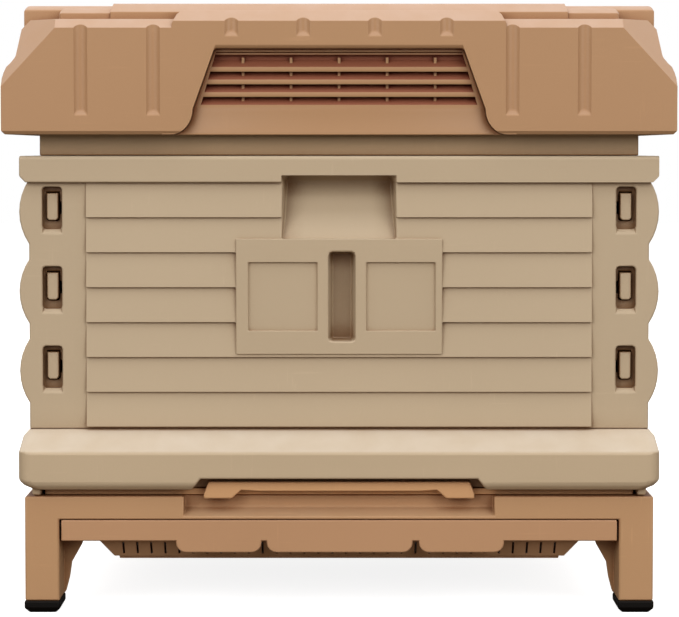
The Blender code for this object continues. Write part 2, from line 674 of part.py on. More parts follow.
def eared_outline():
    """The long wall seen from the front, with a round ear beside each window."""
    side = [(body_half_x, body_bottom)]
    half_chord = ear_pitch * EAR_CHORD_SHARE / 2
    radius = (half_chord ** 2 + EAR_REACH ** 2) / (EAR_REACH * 2)
    centre_x = body_half_x + EAR_REACH - radius
    half_angle = math.asin(half_chord / radius)
    steps = 8
    for centre_z in ear_levels():
        for step in range(steps + 1):
            angle = half_angle * (2 * step / steps - 1)
            side.append((centre_x + radius * math.cos(angle), centre_z + radius * math.sin(angle)))
    side.append((body_half_x, rim_bottom + RIM_HEIGHT / 2))
    return side + [(-x, z) for x, z in reversed(side)]


def plain_outline(half):
    return [(-half, body_bottom), (half, body_bottom),
            (half, rim_bottom + RIM_HEIGHT / 2), (-half, rim_bottom + RIM_HEIGHT / 2)]


def siding_outline(outer):
    """Section of the lapped boards, each leaning out to a sharp lower edge."""
    sunk = -(outer - SKIN / 2)
    points = [(sunk, rim_bottom + RIM_HEIGHT / 3)]
    points.append((-(outer + BOARD_TOP_PROUD), rim_bottom + RIM_HEIGHT / 3))
    for index in range(BOARD_COUNT):
        top = rim_bottom - index * board_pitch
        points.append((-(outer + BOARD_TOP_PROUD), top))
        points.append((-(outer + BOARD_PROUD), top - board_pitch))
    points.append((sunk, rim_bottom - BOARD_COUNT * board_pitch))
    return points


def wall_blank(name, outline, outer, inner, rim_half, rim_proud, field_half):
    """One wall facing -Y: core, rim along the top, and the field of lapped boards."""
    wall = prism(name, outline, 'Y', -outer, -inner, hive)
    corner = RIM_CORNER if rim_half > CHAMBER_LENGTH / 2 else 0
    rim_outline = [(-rim_half, rim_bottom + corner), (-rim_half, body_top),
                   (rim_half, body_top), (rim_half, rim_bottom + corner)]
    if corner:
        rim_outline += [(rim_half - corner, rim_bottom), (corner - rim_half, rim_bottom)]
    rim = prism(name + " rim", rim_outline, 'Y', -(outer + rim_proud), -inner)
    edge_outline = [(-(outer + rim_proud + OVERRUN), body_top - RIM_EDGE - OVERRUN),
                    (-(outer + rim_proud - RIM_EDGE - OVERRUN), body_top + OVERRUN),
                    (-(outer + rim_proud + OVERRUN), body_top + OVERRUN)]
    fuse(wall, rim)
    fuse(wall, prism(name + " boards", siding_outline(outer), 'X', -field_half, field_half))
    cut(wall, prism(name + " rim edge", edge_outline, 'X', -rim_half - OVERRUN, rim_half + OVERRUN))
    return wall


def hand_hold_cutter(name, outer):
    """A scoop, deep under its top edge and running out at the bottom."""
    front = -(outer + RIM_PROUD + OVERRUN)
    low = hand_hold_top - HAND_HOLD_HEIGHT
    section_shares = ((1.0, 0.90), (0.94, 0.72), (0.55, 0.35), (0.06, 0.0))
    rings = []
    half = HAND_HOLD_LENGTH / 2
    for depth_share, rise_share in reversed(section_shares):
        back = half - HAND_HOLD_CORNER * (0.2 + depth_share) / 2
        y = HAND_HOLD_DEPTH * depth_share - outer
        z = low + HAND_HOLD_HEIGHT * rise_share
        rings.append([(-half, front, z), (half, front, z), (back, y, z), (-back, y, z)])
    back = half - HAND_HOLD_CORNER
    y = HAND_HOLD_DEPTH * 0.85 - outer
    rings.append([(-half, front, hand_hold_top), (half, front, hand_hold_top),
                  (back, y, hand_hold_top), (-back, y, hand_hold_top)])
    return loft(name, rings)


def build_long_walls():
    outer, inner = body_half_y, CHAMBER_DEPTH / 2
    rim_half = body_half_x + RIM_SIDE_PROUD
    wall = wall_blank("front_panel", eared_outline(), outer, inner, rim_half, RIM_PROUD,
                      body_half_x - BOARD_MARGIN)
    low = plaque_top - PLAQUE_HEIGHT
    fuse(wall, box("plaque", (-PLAQUE_LENGTH / 2, -(outer + PLAQUE_PROUD), low),
                   (PLAQUE_LENGTH / 2, SKIN / 2 - outer, plaque_top)))
    cut(wall, hand_hold_cutter("long wall hand-hold", outer))
    middle_z = low + PLAQUE_HEIGHT / 2
    face = outer + PLAQUE_PROUD
    labels = []
    for side in (-1, 1):
        x = PLAQUE_SHIFT + side * (SLOT_WIDTH / 2 + LABEL_MARGIN + LABEL_SIZE / 2)
        labels.append(((x - LABEL_SIZE / 2, -face - OVERRUN, middle_z - LABEL_SIZE / 2),
                       (x + LABEL_SIZE / 2, LABEL_DEPTH - face, middle_z + LABEL_SIZE / 2)))
    cut(wall, boxes("label recesses", labels))
    slot_rings = []
    for y, inset in ((-face - OVERRUN, 0), (-face, 0), (SLOT_DEPTH - face, SLOT_TAPER)):
        outline = rounded_rectangle(SLOT_WIDTH / 2 - inset, SLOT_HEIGHT / 2 - inset / 2,
                                    SLOT_CORNER - inset / 2, 2, (PLAQUE_SHIFT, middle_z))
        slot_rings.append([(x, y, z) for x, z in outline])
    cut(wall, loft("plaque slot", slot_rings))
    for index, centre_z in enumerate(ear_levels()):
        for side in (-1, 1):
            middle = (side * (body_half_x - WINDOW_INSET - WINDOW_WIDTH / 2), centre_z + WINDOW_RISE)
            outline = rounded_rectangle(WINDOW_WIDTH / 2, window_height / 2, WINDOW_CORNER, 2, middle)
            cut(wall, prism(f"window {index + 1} {side}", outline, 'Y',
                            -outer - OVERRUN, WINDOW_DEPTH - outer))
            passage = hook_outline(middle[0], hook_top(centre_z), SLIDE_PLAY)
            beside = (middle[0] - side * (WINDOW_WIDTH - RELIEF_WIDTH) / 2, middle[1])
            relief = rounded_rectangle(RELIEF_WIDTH / 2, RELIEF_HEIGHT / 2, RELIEF_WIDTH / 2 - SEAT_GAP,
                                       3, beside)
            for label, hole in (("passage", passage), ("relief", relief)):
                cut(wall, prism(f"hook {label} {index + 1} {side}", hole, 'Y',
                                -outer - OVERRUN, OVERRUN - inner))
            sill_half = WINDOW_WIDTH / 2 - SLIDE_PLAY / 2
            sill_top = middle[1] - window_height / 2 + WINDOW_CORNER
            sill = [(-outer - OVERRUN, sill_top - WINDOW_CORNER - WINDOW_SILL - OVERRUN),
                    (WINDOW_SILL + WINDOW_CORNER - outer, sill_top), (-outer - OVERRUN, sill_top)]
            cut(wall, prism(f"sill {index + 1} {side}", sill, 'X',
                            middle[0] - sill_half, middle[0] + sill_half))
    hollow_low = body_bottom - OVERRUN
    hollow_high = rim_bottom - HOLLOW_MARGIN
    inner_x = HAND_HOLD_LENGTH / 2 + HOLLOW_MARGIN
    outer_x = body_half_x - WINDOW_INSET - WINDOW_WIDTH - HOLLOW_MARGIN
    hollows = []
    for side in (-1, 1):
        xs = sorted((side * inner_x, side * outer_x))
        hollows.append(((xs[0], SKIN - outer, hollow_low), (xs[1], -inner - SKIN, hollow_high)))
    hollows.append(((-inner_x + SKIN, SLOT_DEPTH + SKIN - outer, hollow_low),
                    (inner_x - SKIN, -inner - SKIN, plaque_top - HOLLOW_MARGIN)))
    cut(wall, boxes("long wall hollows", hollows))
    paint(wall, BEIGE, 0.42)
    twin(wall, "rear_panel", 180)


def build_end_walls():
    outer, inner = body_half_x, CHAMBER_LENGTH / 2
    half = CHAMBER_DEPTH / 2 - SEAT_GAP
    wall = wall_blank("left_panel", plain_outline(half), outer, inner, half, RIM_SIDE_PROUD,
                      half - END_BOARD_MARGIN)
    hook_y = -(outer - WINDOW_INSET - WINDOW_WIDTH / 2)
    for index, centre_z in enumerate(ear_levels()):
        for side in (-1, 1):
            xs = sorted((side * (half - HOOK_WIDTH), side * (body_half_y - HOOK_SETBACK)))
            fuse(wall, prism(f"hook {index + 1} {side}", hook_outline(hook_y, hook_top(centre_z)),
                             'X', xs[0], xs[1]))
    cut(wall, hand_hold_cutter("end wall hand-hold", outer))
    cut(wall, box("rebate", (-half - OVERRUN, -(inner + REBATE_WIDTH), body_top - REBATE_DEPTH),
                  (half + OVERRUN, OVERRUN - inner, body_top + OVERRUN)))
    inner_x = HAND_HOLD_LENGTH / 2 + HOLLOW_MARGIN
    hollows = []
    for side in (-1, 1):
        xs = sorted((side * inner_x, side * (half - HOLLOW_MARGIN - HOOK_WIDTH)))
        hollows.append(((xs[0], SKIN - outer, body_bottom - OVERRUN),
                        (xs[1], -inner - SKIN, rim_bottom - HOLLOW_MARGIN)))
    hollows.append(((SKIN - inner_x, SKIN - outer, body_bottom - OVERRUN),
                    (inner_x - SKIN, -inner - SKIN, plaque_top - HOLLOW_MARGIN)))
    cut(wall, boxes("end wall hollows", hollows))
    paint(wall, BEIGE, 0.42)
    twin(wall, "right_panel", 90)
    wall.rotation_euler = (0, 0, math.radians(-90))


# Frames: moulded top bar with lugs, two side bars, bottom bar and a sheet of foundation
BEE_SPACE = 0.009
LUG_REACH = 0.0078
SHOULDER_SPACE = 0.0026
TOP_BAR_SPACE = 0.0111
LOWER_BAR_SPACE = 0.0156
TOP_BAR_HEIGHT = 0.019
LUG_HEIGHT = 0.0095
FRAME_FLOOR_SPACE = 0.0071
SIDE_BAR = 0.009
SHOULDER_HEIGHT = 0.075
BOTTOM_BAR_HEIGHT = 0.010
FOUNDATION_THICKNESS = 0.003

lug_bottom = body_top - REBATE_DEPTH + SEAT_GAP
frame_top = lug_bottom + LUG_HEIGHT
frame_pitch = CHAMBER_DEPTH / FRAME_COUNT


def build_frames():
    half = CHAMBER_LENGTH / 2 - BEE_SPACE
    lug_half = CHAMBER_LENGTH / 2 + LUG_REACH
    top_bar = (frame_pitch - TOP_BAR_SPACE) / 2
    lower_bar = (frame_pitch - LOWER_BAR_SPACE) / 2
    shoulder = (frame_pitch - SHOULDER_SPACE) / 2
    first = box("frame_01", (-half, -top_bar, frame_top - TOP_BAR_HEIGHT), (half, top_bar, frame_top), hive)
    fuse(first, box("lugs", (-lug_half, -lower_bar, lug_bottom),
                    (lug_half, lower_bar, frame_top - SEAT_GAP)))
    bottom = body_bottom + FRAME_FLOOR_SPACE
    shoulder_top = frame_top - TOP_BAR_HEIGHT / 2
    shoulders, bars = [], []
    for side in (-1, 1):
        xs = sorted((side * (half - SEAT_GAP), side * (half - SIDE_BAR)))
        shoulders.append(((xs[0], -shoulder, shoulder_top - SHOULDER_HEIGHT),
                          (xs[1], shoulder, shoulder_top)))
        xs = sorted((side * half, side * (half - SIDE_BAR + SEAT_GAP)))
        bars.append(((xs[0], -lower_bar, bottom + BOTTOM_BAR_HEIGHT / 2),
                     (xs[1], lower_bar, shoulder_top - SHOULDER_HEIGHT / 2)))
    fuse(first, boxes("shoulders", shoulders), boxes("side bars", bars))
    fuse(first, box("bottom bar", (SEAT_GAP - half, SEAT_GAP - lower_bar, bottom),
                    (half - SEAT_GAP, lower_bar - SEAT_GAP, bottom + BOTTOM_BAR_HEIGHT)))
    sheet = half - SIDE_BAR / 2
    fuse(first, box("foundation", (-sheet, -FOUNDATION_THICKNESS / 2, bottom + BOTTOM_BAR_HEIGHT / 2),
                    (sheet, FOUNDATION_THICKNESS / 2, frame_top - TOP_BAR_HEIGHT / 2)))
    paint(first, FRAME_CREAM, 0.5)
    settle(first)
    for index in range(FRAME_COUNT):
        frame = first if index == 0 else place(f"frame_{index + 1:02d}", first.data, hive)
        frame.location.y = (index + 0.5) * frame_pitch - CHAMBER_DEPTH / 2


# Feeder: an inner cover with a syrup basin on each side of the bees' way up, and its cap
FEEDER_SETBACK_X = 0.0085
FEEDER_SETBACK_Y = 0.014
FEEDER_WALL = 0.004
CHIMNEY_LENGTH = 0.080
CHIMNEY_DEPTH = 0.036
CHIMNEY_HEIGHT = 0.030
CHIMNEY_WALL = 0.0035
DIVIDER = 0.003
CAP_WALL = 0.002
CAP_ROOM = 0.005

feeder_half_x = body_half_x - FEEDER_SETBACK_X
feeder_half_y = body_half_y - FEEDER_SETBACK_Y
feeder_floor = feeder_bottom + FEEDER_WALL


def build_feeder():
    feeder = box("feeder_tray", (-feeder_half_x, -feeder_half_y, feeder_bottom),
                 (feeder_half_x, feeder_half_y, feeder_top), hive)
    cut(feeder, box("basin", (FEEDER_WALL - feeder_half_x, FEEDER_WALL - feeder_half_y, feeder_floor),
                    (feeder_half_x - FEEDER_WALL, feeder_half_y - FEEDER_WALL, feeder_top + OVERRUN)))
    dividers = []
    for side in (-1, 1):
        ys = sorted((side * (CHIMNEY_DEPTH / 2 + CAP_ROOM * 2), side * (feeder_half_y - FEEDER_WALL / 2)))
        dividers.append(((-DIVIDER / 2, ys[0], feeder_floor - FEEDER_WALL / 2),
                         (DIVIDER / 2, ys[1], feeder_floor + CHIMNEY_HEIGHT / 2)))
    fuse(feeder, boxes("dividers", dividers))
    chimney_x, chimney_y = CHIMNEY_LENGTH / 2, CHIMNEY_DEPTH / 2
    fuse(feeder, box("chimney", (-chimney_x, -chimney_y, feeder_floor - FEEDER_WALL / 2),
                     (chimney_x, chimney_y, feeder_floor + CHIMNEY_HEIGHT)))
    cut(feeder, box("bee way", (CHIMNEY_WALL - chimney_x, CHIMNEY_WALL - chimney_y, feeder_bottom - OVERRUN),
                    (chimney_x - CHIMNEY_WALL, chimney_y - CHIMNEY_WALL,
                     feeder_floor + CHIMNEY_HEIGHT + OVERRUN)))
    paint(feeder, BEIGE, 0.42)


def build_feeder_cap():
    low = feeder_floor + SEAT_GAP
    high = feeder_floor + CHIMNEY_HEIGHT + CAP_ROOM + CAP_WALL
    half_x = CHIMNEY_LENGTH / 2 + CAP_ROOM + CAP_WALL
    half_y = CHIMNEY_DEPTH / 2 + CAP_ROOM + CAP_WALL
    top_inset = CAP_WALL
    rings = []
    for inset, z in ((0, low), (0, high - top_inset), (top_inset, high)):
        rings.append(level(rounded_rectangle(half_x - inset, half_y - inset, CAP_ROOM, 2), z))
    cap = loft("feeder_cap", rings, hive)
    inside = rounded_rectangle(half_x - CAP_WALL, half_y - CAP_WALL, CAP_ROOM - CAP_WALL, 2)
    cut(cap, prism("cap hollow", inside, 'Z', low - OVERRUN, high - CAP_WALL))
    notch_half = CAP_ROOM
    notches = []
    for share in (-0.6, 0, 0.6):
        x = share * half_x
        notches.append(((x - notch_half, -half_y - OVERRUN, low - OVERRUN),
                        (x + notch_half, half_y + OVERRUN, low + CAP_ROOM)))
    cut(cap, boxes("cap notches", notches))
    paint(cap, SMOKE, 0.2)


# Roof: a moulded shell with stepped crown, cut corners, shallow channels and an arch for the vent
ROOF_LIP = 0.003
SKIRT_HEIGHT = 0.0499
SHOULDER_RISE = 0.0196
SHOULDER_STEP = 0.0115
ROOF_DRAFT = 0.0030
ROOF_EDGE = 0.0081
CORNER_CUT_LENGTH = 0.0559
CORNER_CUT_DEPTH = 0.060
CORNER_CUT_DROP = 0.0604
CENTRE_SETBACK = 0.1569
CENTRE_RISE = 0.0079
CENTRE_EDGE = 0.0099
CENTRE_SLANT = 0.0043
STEP_SIDE_SETBACK = 0.0492
STEP_SETBACK = 0.030
STEP_RISE = 0.0108
STEP_EDGE = 0.0046
CROWN_SIDE_SETBACK = 0.0954
CROWN_SETBACK = 0.028
CROWN_EDGE = 0.008
PAD_SIDE_EDGE = 0.0026
DECK_SIDE_SETBACK = 0.0133
DECK_SETBACK = 0.066
DECK_EDGE = 0.0042
CHANNEL_RADIUS = 0.0078
CHANNEL_DEPTH = 0.0030
CHANNEL_SIDES = 24
SILL_HEIGHT = 0.0050
PILL_DROP = 0.0236
GROOVE_DROP = 0.0861
ARCH_TOP_HALF = 0.1114
ARCH_SIDE_HALF = 0.1309
ARCH_FOOT_HALF = 0.1505
ARCH_HEIGHT = 0.0767
ARCH_FOOT_HEIGHT = 0.0226
ARCH_FOOT_STEPS = 8
ARCH_DEPTH = 0.0155
ARCH_FRAME = 0.008
RIB_THICKNESS = 0.008


def cut_by_plane(bm, point, normal):
    """Slice off what lies beyond a plane, and close the cut."""
    parts = bm.verts[:] + bm.edges[:] + bm.faces[:]
    result = bmesh.ops.bisect_plane(bm, geom=parts, plane_co=point, plane_no=normal,
                                    clear_outer=True, dist=SEAT_GAP / 100)
    rim = [part for part in result['geom_cut'] if isinstance(part, bmesh.types.BMEdge)]
    bmesh.ops.edgeloop_fill(bm, edges=rim)


def roof_form(name, wall, group):
    """The roof's outer form, or with a wall given, the space inside that wall."""
    half = roof_half_x - wall
    upper = half - SHOULDER_STEP
    top = roof_deck - wall
    bottom = roof_bottom - (OVERRUN if wall else 0)
    shoulder = roof_bottom + SKIRT_HEIGHT
    lip = 0 if wall else ROOF_LIP
    side = [(half - lip, bottom), (half, bottom + lip)]
    shoulder_shares = ((0, 0), (0.1, 0.27), (0.27, 0.54), (0.6, 0.71), (1, 1))
    for step_share, rise_share in shoulder_shares:
        side.append((half - SHOULDER_STEP * step_share, shoulder + SHOULDER_RISE * rise_share))
    side.append((upper - ROOF_DRAFT, top - ROOF_EDGE))
    side.append((upper - ROOF_DRAFT - ROOF_EDGE, top))
    outline = side + [(-x, z) for x, z in reversed(side)]
    half_y = roof_half_y - wall
    form = prism(name, outline, 'Y', -half_y, half_y, group)
    bm = bmesh.new()
    bm.from_mesh(form.data)
    for side_y in (-1, 1):
        normal = Vector((0, side_y, 1)).normalized()
        edge = Vector((0, side_y * roof_half_y, roof_deck - ROOF_EDGE)) - normal * wall
        cut_by_plane(bm, edge, normal)
        if lip:
            cut_by_plane(bm, Vector((0, side_y * roof_half_y, roof_bottom + lip)),
                         Vector((0, side_y, -1)).normalized())
        for side_x in (-1, 1):
            normal = Vector((side_x / CORNER_CUT_LENGTH, side_y / CORNER_CUT_DEPTH, 1 / CORNER_CUT_DROP))
            normal.normalize()
            corner = Vector((side_x * (roof_half_x - CORNER_CUT_LENGTH), side_y * roof_half_y, roof_deck))
            cut_by_plane(bm, corner - normal * wall, normal)
    bmesh.ops.recalc_face_normals(bm, faces=bm.faces)
    bm.to_mesh(form.data)
    bm.free()
    return form


def channel_cutter(name, x, side_y, sill):
    """A shallow round channel, open at its top, that ends below in a sloping sill."""
    centre_y = side_y * (roof_half_y + CHANNEL_RADIUS - CHANNEL_DEPTH)
    lower, upper = [], []
    for index in range(CHANNEL_SIDES):
        angle = math.tau * (index + 0.5) / CHANNEL_SIDES
        across = x + CHANNEL_RADIUS * math.cos(angle)
        along = centre_y + CHANNEL_RADIUS * math.sin(angle)
        depth = roof_half_y - side_y * along
        lower.append((across, along, sill + SILL_HEIGHT * depth / CHANNEL_DEPTH))
        upper.append((across, along, roof_top))
    return loft(name, [lower, upper])


def arch_outline(grow, drop=0):
    """The vent's arch: sloping sides that flare out at the foot; grow moves it out and up."""
    side = [(ARCH_TOP_HALF + grow, roof_bottom + ARCH_HEIGHT + grow)]
    for step in range(ARCH_FOOT_STEPS + 1):
        angle = math.radians(90) * step / ARCH_FOOT_STEPS
        x = ARCH_SIDE_HALF + (ARCH_FOOT_HALF - ARCH_SIDE_HALF) * (1 - math.cos(angle))
        side.append((x + grow, roof_bottom + grow + ARCH_FOOT_HEIGHT * (1 - math.sin(angle))))
    if drop:
        side.append((ARCH_FOOT_HALF + grow, roof_bottom - drop))
    return side + [(-x, z) for x, z in reversed(side)]


def build_roof():
    roof = roof_form("roof_shell", 0, hive)
    sunk = roof_deck - ROOF_EDGE
    centre_half = roof_half_x - CENTRE_SETBACK
    centre = [(centre_half + CENTRE_SLANT, sunk), (centre_half + CENTRE_SLANT, roof_deck - CENTRE_SLANT),
              (centre_half, roof_deck + CENTRE_SLANT), (centre_half - CENTRE_SLANT, roof_deck + CENTRE_RISE)]
    centre_block = prism("centre block", centre + [(-x, z) for x, z in reversed(centre)], 'Y',
                         -roof_half_y, roof_half_y)
    bm = bmesh.new()
    bm.from_mesh(centre_block.data)
    for side_y in (-1, 1):
        normal = Vector((0, side_y, 1)).normalized()
        cut_by_plane(bm, Vector((0, side_y * roof_half_y, roof_deck + CENTRE_RISE - CENTRE_EDGE)), normal)
    bm.to_mesh(centre_block.data)
    bm.free()
    fuse(roof, centre_block)
    pads = (("step", STEP_SIDE_SETBACK, STEP_SETBACK, roof_deck + STEP_RISE, STEP_EDGE),
            ("crown", CROWN_SIDE_SETBACK, CROWN_SETBACK, roof_top, CROWN_EDGE),
            ("deck", DECK_SIDE_SETBACK, DECK_SETBACK, roof_top - SEAT_GAP, DECK_EDGE))
    for label, side_setback, setback, top, edge in pads:
        half_x = roof_half_x - side_setback
        half_y = roof_half_y - setback
        rings = []
        for inset_x, inset_y, z in ((0, 0, sunk), (0, 0, top - edge), (PAD_SIDE_EDGE, edge, top)):
            x, y = half_x - inset_x, half_y - inset_y
            rings.append(level([(-x, -y), (x, -y), (x, y), (-x, y)], z))
        fuse(roof, loft(label + " pad", rings))
    cut(roof, roof_form("roof inside", ROOF_WALL, cutters))
    attic_x = roof_half_x - DECK_SIDE_SETBACK - ROOF_WALL - OVERRUN
    attic_y = roof_half_y - DECK_SETBACK - ROOF_WALL - OVERRUN
    cut(roof, box("attic", (-attic_x, -attic_y, roof_bottom + SKIRT_HEIGHT),
                  (attic_x, attic_y, roof_top - ROOF_WALL)))
    thick = [(ARCH_FOOT_HALF + ARCH_FRAME, roof_bottom),
             (ARCH_FOOT_HALF + ARCH_FRAME, roof_bottom + ARCH_FOOT_HEIGHT),
             (ARCH_TOP_HALF + ARCH_FRAME * 2, roof_bottom + ARCH_HEIGHT + ARCH_FRAME)]
    fuse(roof, prism("arch frame", thick + [(-x, z) for x, z in reversed(thick)],
                     'Y', OVERRUN - roof_half_y, ARCH_DEPTH - roof_half_y))
    cut(roof, prism("arch", arch_outline(0, OVERRUN), 'Y',
                    -roof_half_y - OVERRUN, ARCH_DEPTH - roof_half_y + OVERRUN))
    for side_y, label in ((-1, "front"), (1, "rear")):
        for share in (-0.318, -0.106, 0.106, 0.318):
            cut(roof, channel_cutter(f"{label} pill {share}", -side_y * share * roof_half_x, side_y,
                                     roof_deck + CENTRE_RISE - PILL_DROP))
        for share in (-0.764, -0.5496, 0.5128, 0.7257):
            cut(roof, channel_cutter(f"{label} groove {share}", -side_y * share * roof_half_x, side_y,
                                     roof_deck - GROOVE_DROP))
    ribs = []
    for side_x in (-1, 1):
        xs = sorted((side_x * (roof_half_x - SHOULDER_STEP - ROOF_WALL / 2),
                     side_x * (feeder_half_x - FEEDER_WALL * 2)))
        for side_y in (-1, 1):
            y = side_y * CHAMBER_DEPTH / 3
            ribs.append(((xs[0], y - RIB_THICKNESS / 2, feeder_top + SEAT_GAP),
                         (xs[1], y + RIB_THICKNESS / 2, roof_deck - ROOF_WALL / 2)))
    fuse(roof, boxes("resting ribs", ribs))
    paint(roof, TAN, 0.42)


# Vent grille: an apron with three louvres and five stiffening ribs, set back in the roof's arch
GRILLE_THICKNESS = 0.005
GRILLE_SETBACK = 0.0098
GRILLE_FRAME = 0.0026
GRILLE_SIDE_FRAME = 0.0015
GRILLE_FOOT_FRAME = 0.0055
APRON_HEIGHT = 0.0268
LOUVRE_COUNT = 3
LOUVRE_HEIGHT = 0.0046
LOUVRE_DEPTH = 0.009
LOUVRE_TILT = 0.0051
GRILLE_RIB_COUNT = 5
GRILLE_RIB_PITCH = 0.0431
GRILLE_RIB_WIDTH = 0.0024
GRILLE_RIB_DROP = 0.0042
TOP_SLOT = 0.0128


def build_grille():
    front = -(roof_half_y - GRILLE_SETBACK)
    back = front + GRILLE_THICKNESS
    grille = prism("roof_grille", arch_outline(-SEAT_GAP), 'Y', front, back, hive)
    window_low = roof_bottom + APRON_HEIGHT
    window_high = roof_bottom + ARCH_HEIGHT - SEAT_GAP - GRILLE_FRAME
    rise = roof_bottom + ARCH_HEIGHT - (roof_bottom + ARCH_FOOT_HEIGHT)

    def half_at(z):
        share = (roof_bottom + ARCH_HEIGHT - z) / rise
        side_frame = GRILLE_SIDE_FRAME + (GRILLE_FOOT_FRAME - GRILLE_SIDE_FRAME) * share
        return ARCH_TOP_HALF + (ARCH_SIDE_HALF - ARCH_TOP_HALF) * share - SEAT_GAP - side_frame

    window = [(-half_at(window_low), window_low), (half_at(window_low), window_low),
              (half_at(window_high), window_high), (-half_at(window_high), window_high)]
    cut(grille, prism("vent window", window, 'Y', front - OVERRUN, back + OVERRUN))
    usable = window_high - TOP_SLOT - window_low
    pitch = usable / LOUVRE_COUNT
    for index in range(LOUVRE_COUNT):
        top = window_high - TOP_SLOT - index * pitch
        deep = front + LOUVRE_DEPTH
        section = [(front, top), (front, top - LOUVRE_HEIGHT),
                   (deep, top - LOUVRE_HEIGHT + LOUVRE_TILT), (deep, top + LOUVRE_TILT)]
        ends = [[(side * (half_at(z) + GRILLE_SIDE_FRAME / 2), y, z) for y, z in section] for side in (-1, 1)]
        fuse(grille, loft(f"louvre {index + 1}", ends))
    ribs = []
    for index in range(GRILLE_RIB_COUNT):
        x = (index - (GRILLE_RIB_COUNT - 1) / 2) * GRILLE_RIB_PITCH
        ribs.append(((x - GRILLE_RIB_WIDTH / 2, front + LOUVRE_DEPTH / 2, window_low - GRILLE_FRAME),
                     (x + GRILLE_RIB_WIDTH / 2, front + LOUVRE_DEPTH + SEAT_GAP,
                      window_high - GRILLE_RIB_DROP)))
    fuse(grille, boxes("vent ribs", ribs))
    paint(grille, TAN, 0.42)


build_stand()
build_feet()
build_debris_tray()
build_floor()
build_screen()
build_gate()
build_pest_tray()
build_long_walls()
build_end_walls()
build_frames()
build_feeder()
build_feeder_cap()
build_roof()
build_grille()
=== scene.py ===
"""Insulated plastic beehive for ten frames, on its four-legged stand.

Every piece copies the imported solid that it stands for, or sits where that solid is.
Sizes are in metres, Z up, and the long side with the drawer pulls faces -Y.
"""

import math

import bmesh
import bpy
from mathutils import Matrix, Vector


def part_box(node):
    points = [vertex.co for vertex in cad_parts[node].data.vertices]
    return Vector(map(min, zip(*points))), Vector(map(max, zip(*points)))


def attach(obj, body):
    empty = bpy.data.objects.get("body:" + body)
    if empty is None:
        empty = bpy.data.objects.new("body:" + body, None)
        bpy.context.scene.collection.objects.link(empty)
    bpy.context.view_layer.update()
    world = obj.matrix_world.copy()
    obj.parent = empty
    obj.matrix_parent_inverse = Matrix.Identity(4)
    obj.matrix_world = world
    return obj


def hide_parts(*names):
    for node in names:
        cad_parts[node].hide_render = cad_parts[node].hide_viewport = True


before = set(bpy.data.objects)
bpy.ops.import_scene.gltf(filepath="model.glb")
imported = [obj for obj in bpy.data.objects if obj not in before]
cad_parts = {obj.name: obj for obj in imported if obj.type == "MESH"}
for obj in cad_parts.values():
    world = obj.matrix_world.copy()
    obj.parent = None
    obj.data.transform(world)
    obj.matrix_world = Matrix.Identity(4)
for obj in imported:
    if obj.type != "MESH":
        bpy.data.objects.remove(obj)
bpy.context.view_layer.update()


# Feet
# Four soft black rubber caps, moulded in one piece each and pushed on the ends of the
# stand's legs by hand. Their lower edges are cut away, and the ground has scuffed them dull.

FOOT_ROUNDING = 0.0012
RUBBER_BLACK = (0.0030, 0.0022, 0.0018)
GROUND_DUST = (0.04, 0.030, 0.024)

WELD_DISTANCE = 2e-5
SCORE_DISTANCE = 1e-5
SCORE_DIGITS = 4
SAME_PLANE_COSINE = 0.99995
FLAT_WITHIN = math.radians(0.6)
SHARP_EDGE = math.radians(26)
SHARP_SHADING = math.radians(38)
OPPOSITE_COSINE = -0.3
SHARE_OF_SIDE = 0.42
LEAST_SINE = 0.3
WIDEST_TURN = 3.0
LINE_GOES_ON = math.radians(120)
ROUNDING_STEPS = 2
FLAT_FACE_WEIGHT = 100


def flat_patch(start):
    """The faces round one face that lie in its plane."""
    patch, waiting = {start: None}, [start]
    while waiting:
        for edge in waiting.pop().edges:
            for other in edge.link_faces:
                if other not in patch and other.normal.dot(start.normal) > SAME_PLANE_COSINE:
                    patch[other] = None
                    waiting.append(other)
    return list(patch)


def rims_of(patch):
    """The closed rims of a flat patch, as sets of corners: one, or more where it has holes."""
    inside = set(patch)
    corners = {}
    for face in patch:
        for edge in face.edges:
            if sum(1 for other in edge.link_faces if other in inside) == 1:
                for corner in edge.verts:
                    corners.setdefault(corner, set()).update(edge.verts)
    rims = []
    while corners:
        first = next(iter(corners))
        rim, waiting = {first}, [first]
        while waiting:
            for other in corners[waiting.pop()]:
                if other not in rim:
                    rim.add(other)
                    waiting.append(other)
        for corner in rim:
            del corners[corner]
        rims.append(rim)
    return rims


def split_through_holes(mould):
    """Score a line through every hole, so that no flat face has to go round one."""
    done = set()
    for start in mould.faces[:]:
        if start in done:
            continue
        patch = flat_patch(start)
        done.update(patch)
        rims = rims_of(patch)
        if len(rims) < 2:
            continue
        spans = []
        for rim in rims:
            lows = [min(corner.co[k] for corner in rim) for k in range(3)]
            highs = [max(corner.co[k] for corner in rim) for k in range(3)]
            spans.append((sum(high - low for low, high in zip(lows, highs)), lows, highs))
        spans.sort(key=lambda span: -span[0])
        across = [highs - lows for lows, highs in zip(spans[0][1], spans[0][2])]
        axis = max(range(3), key=lambda k: across[k])
        direction = Vector([1.0 if k == axis else 0.0 for k in range(3)])
        middles = {round((lows[axis] + highs[axis]) / 2, SCORE_DIGITS) for _, lows, highs in spans[1:]}
        for place in sorted(middles):
            parts = dict.fromkeys(patch)
            for face in patch:
                parts.update(dict.fromkeys(face.edges[:] + face.verts[:]))
            scored = bmesh.ops.bisect_plane(mould, geom=list(parts), plane_co=direction * place,
                                            plane_no=direction, dist=SCORE_DISTANCE)
            mould.normal_update()
            patch = flat_patch(start)
            done.update(patch)
            for part in scored['geom_cut']:
                if isinstance(part, bmesh.types.BMEdge):
                    part.seam = True


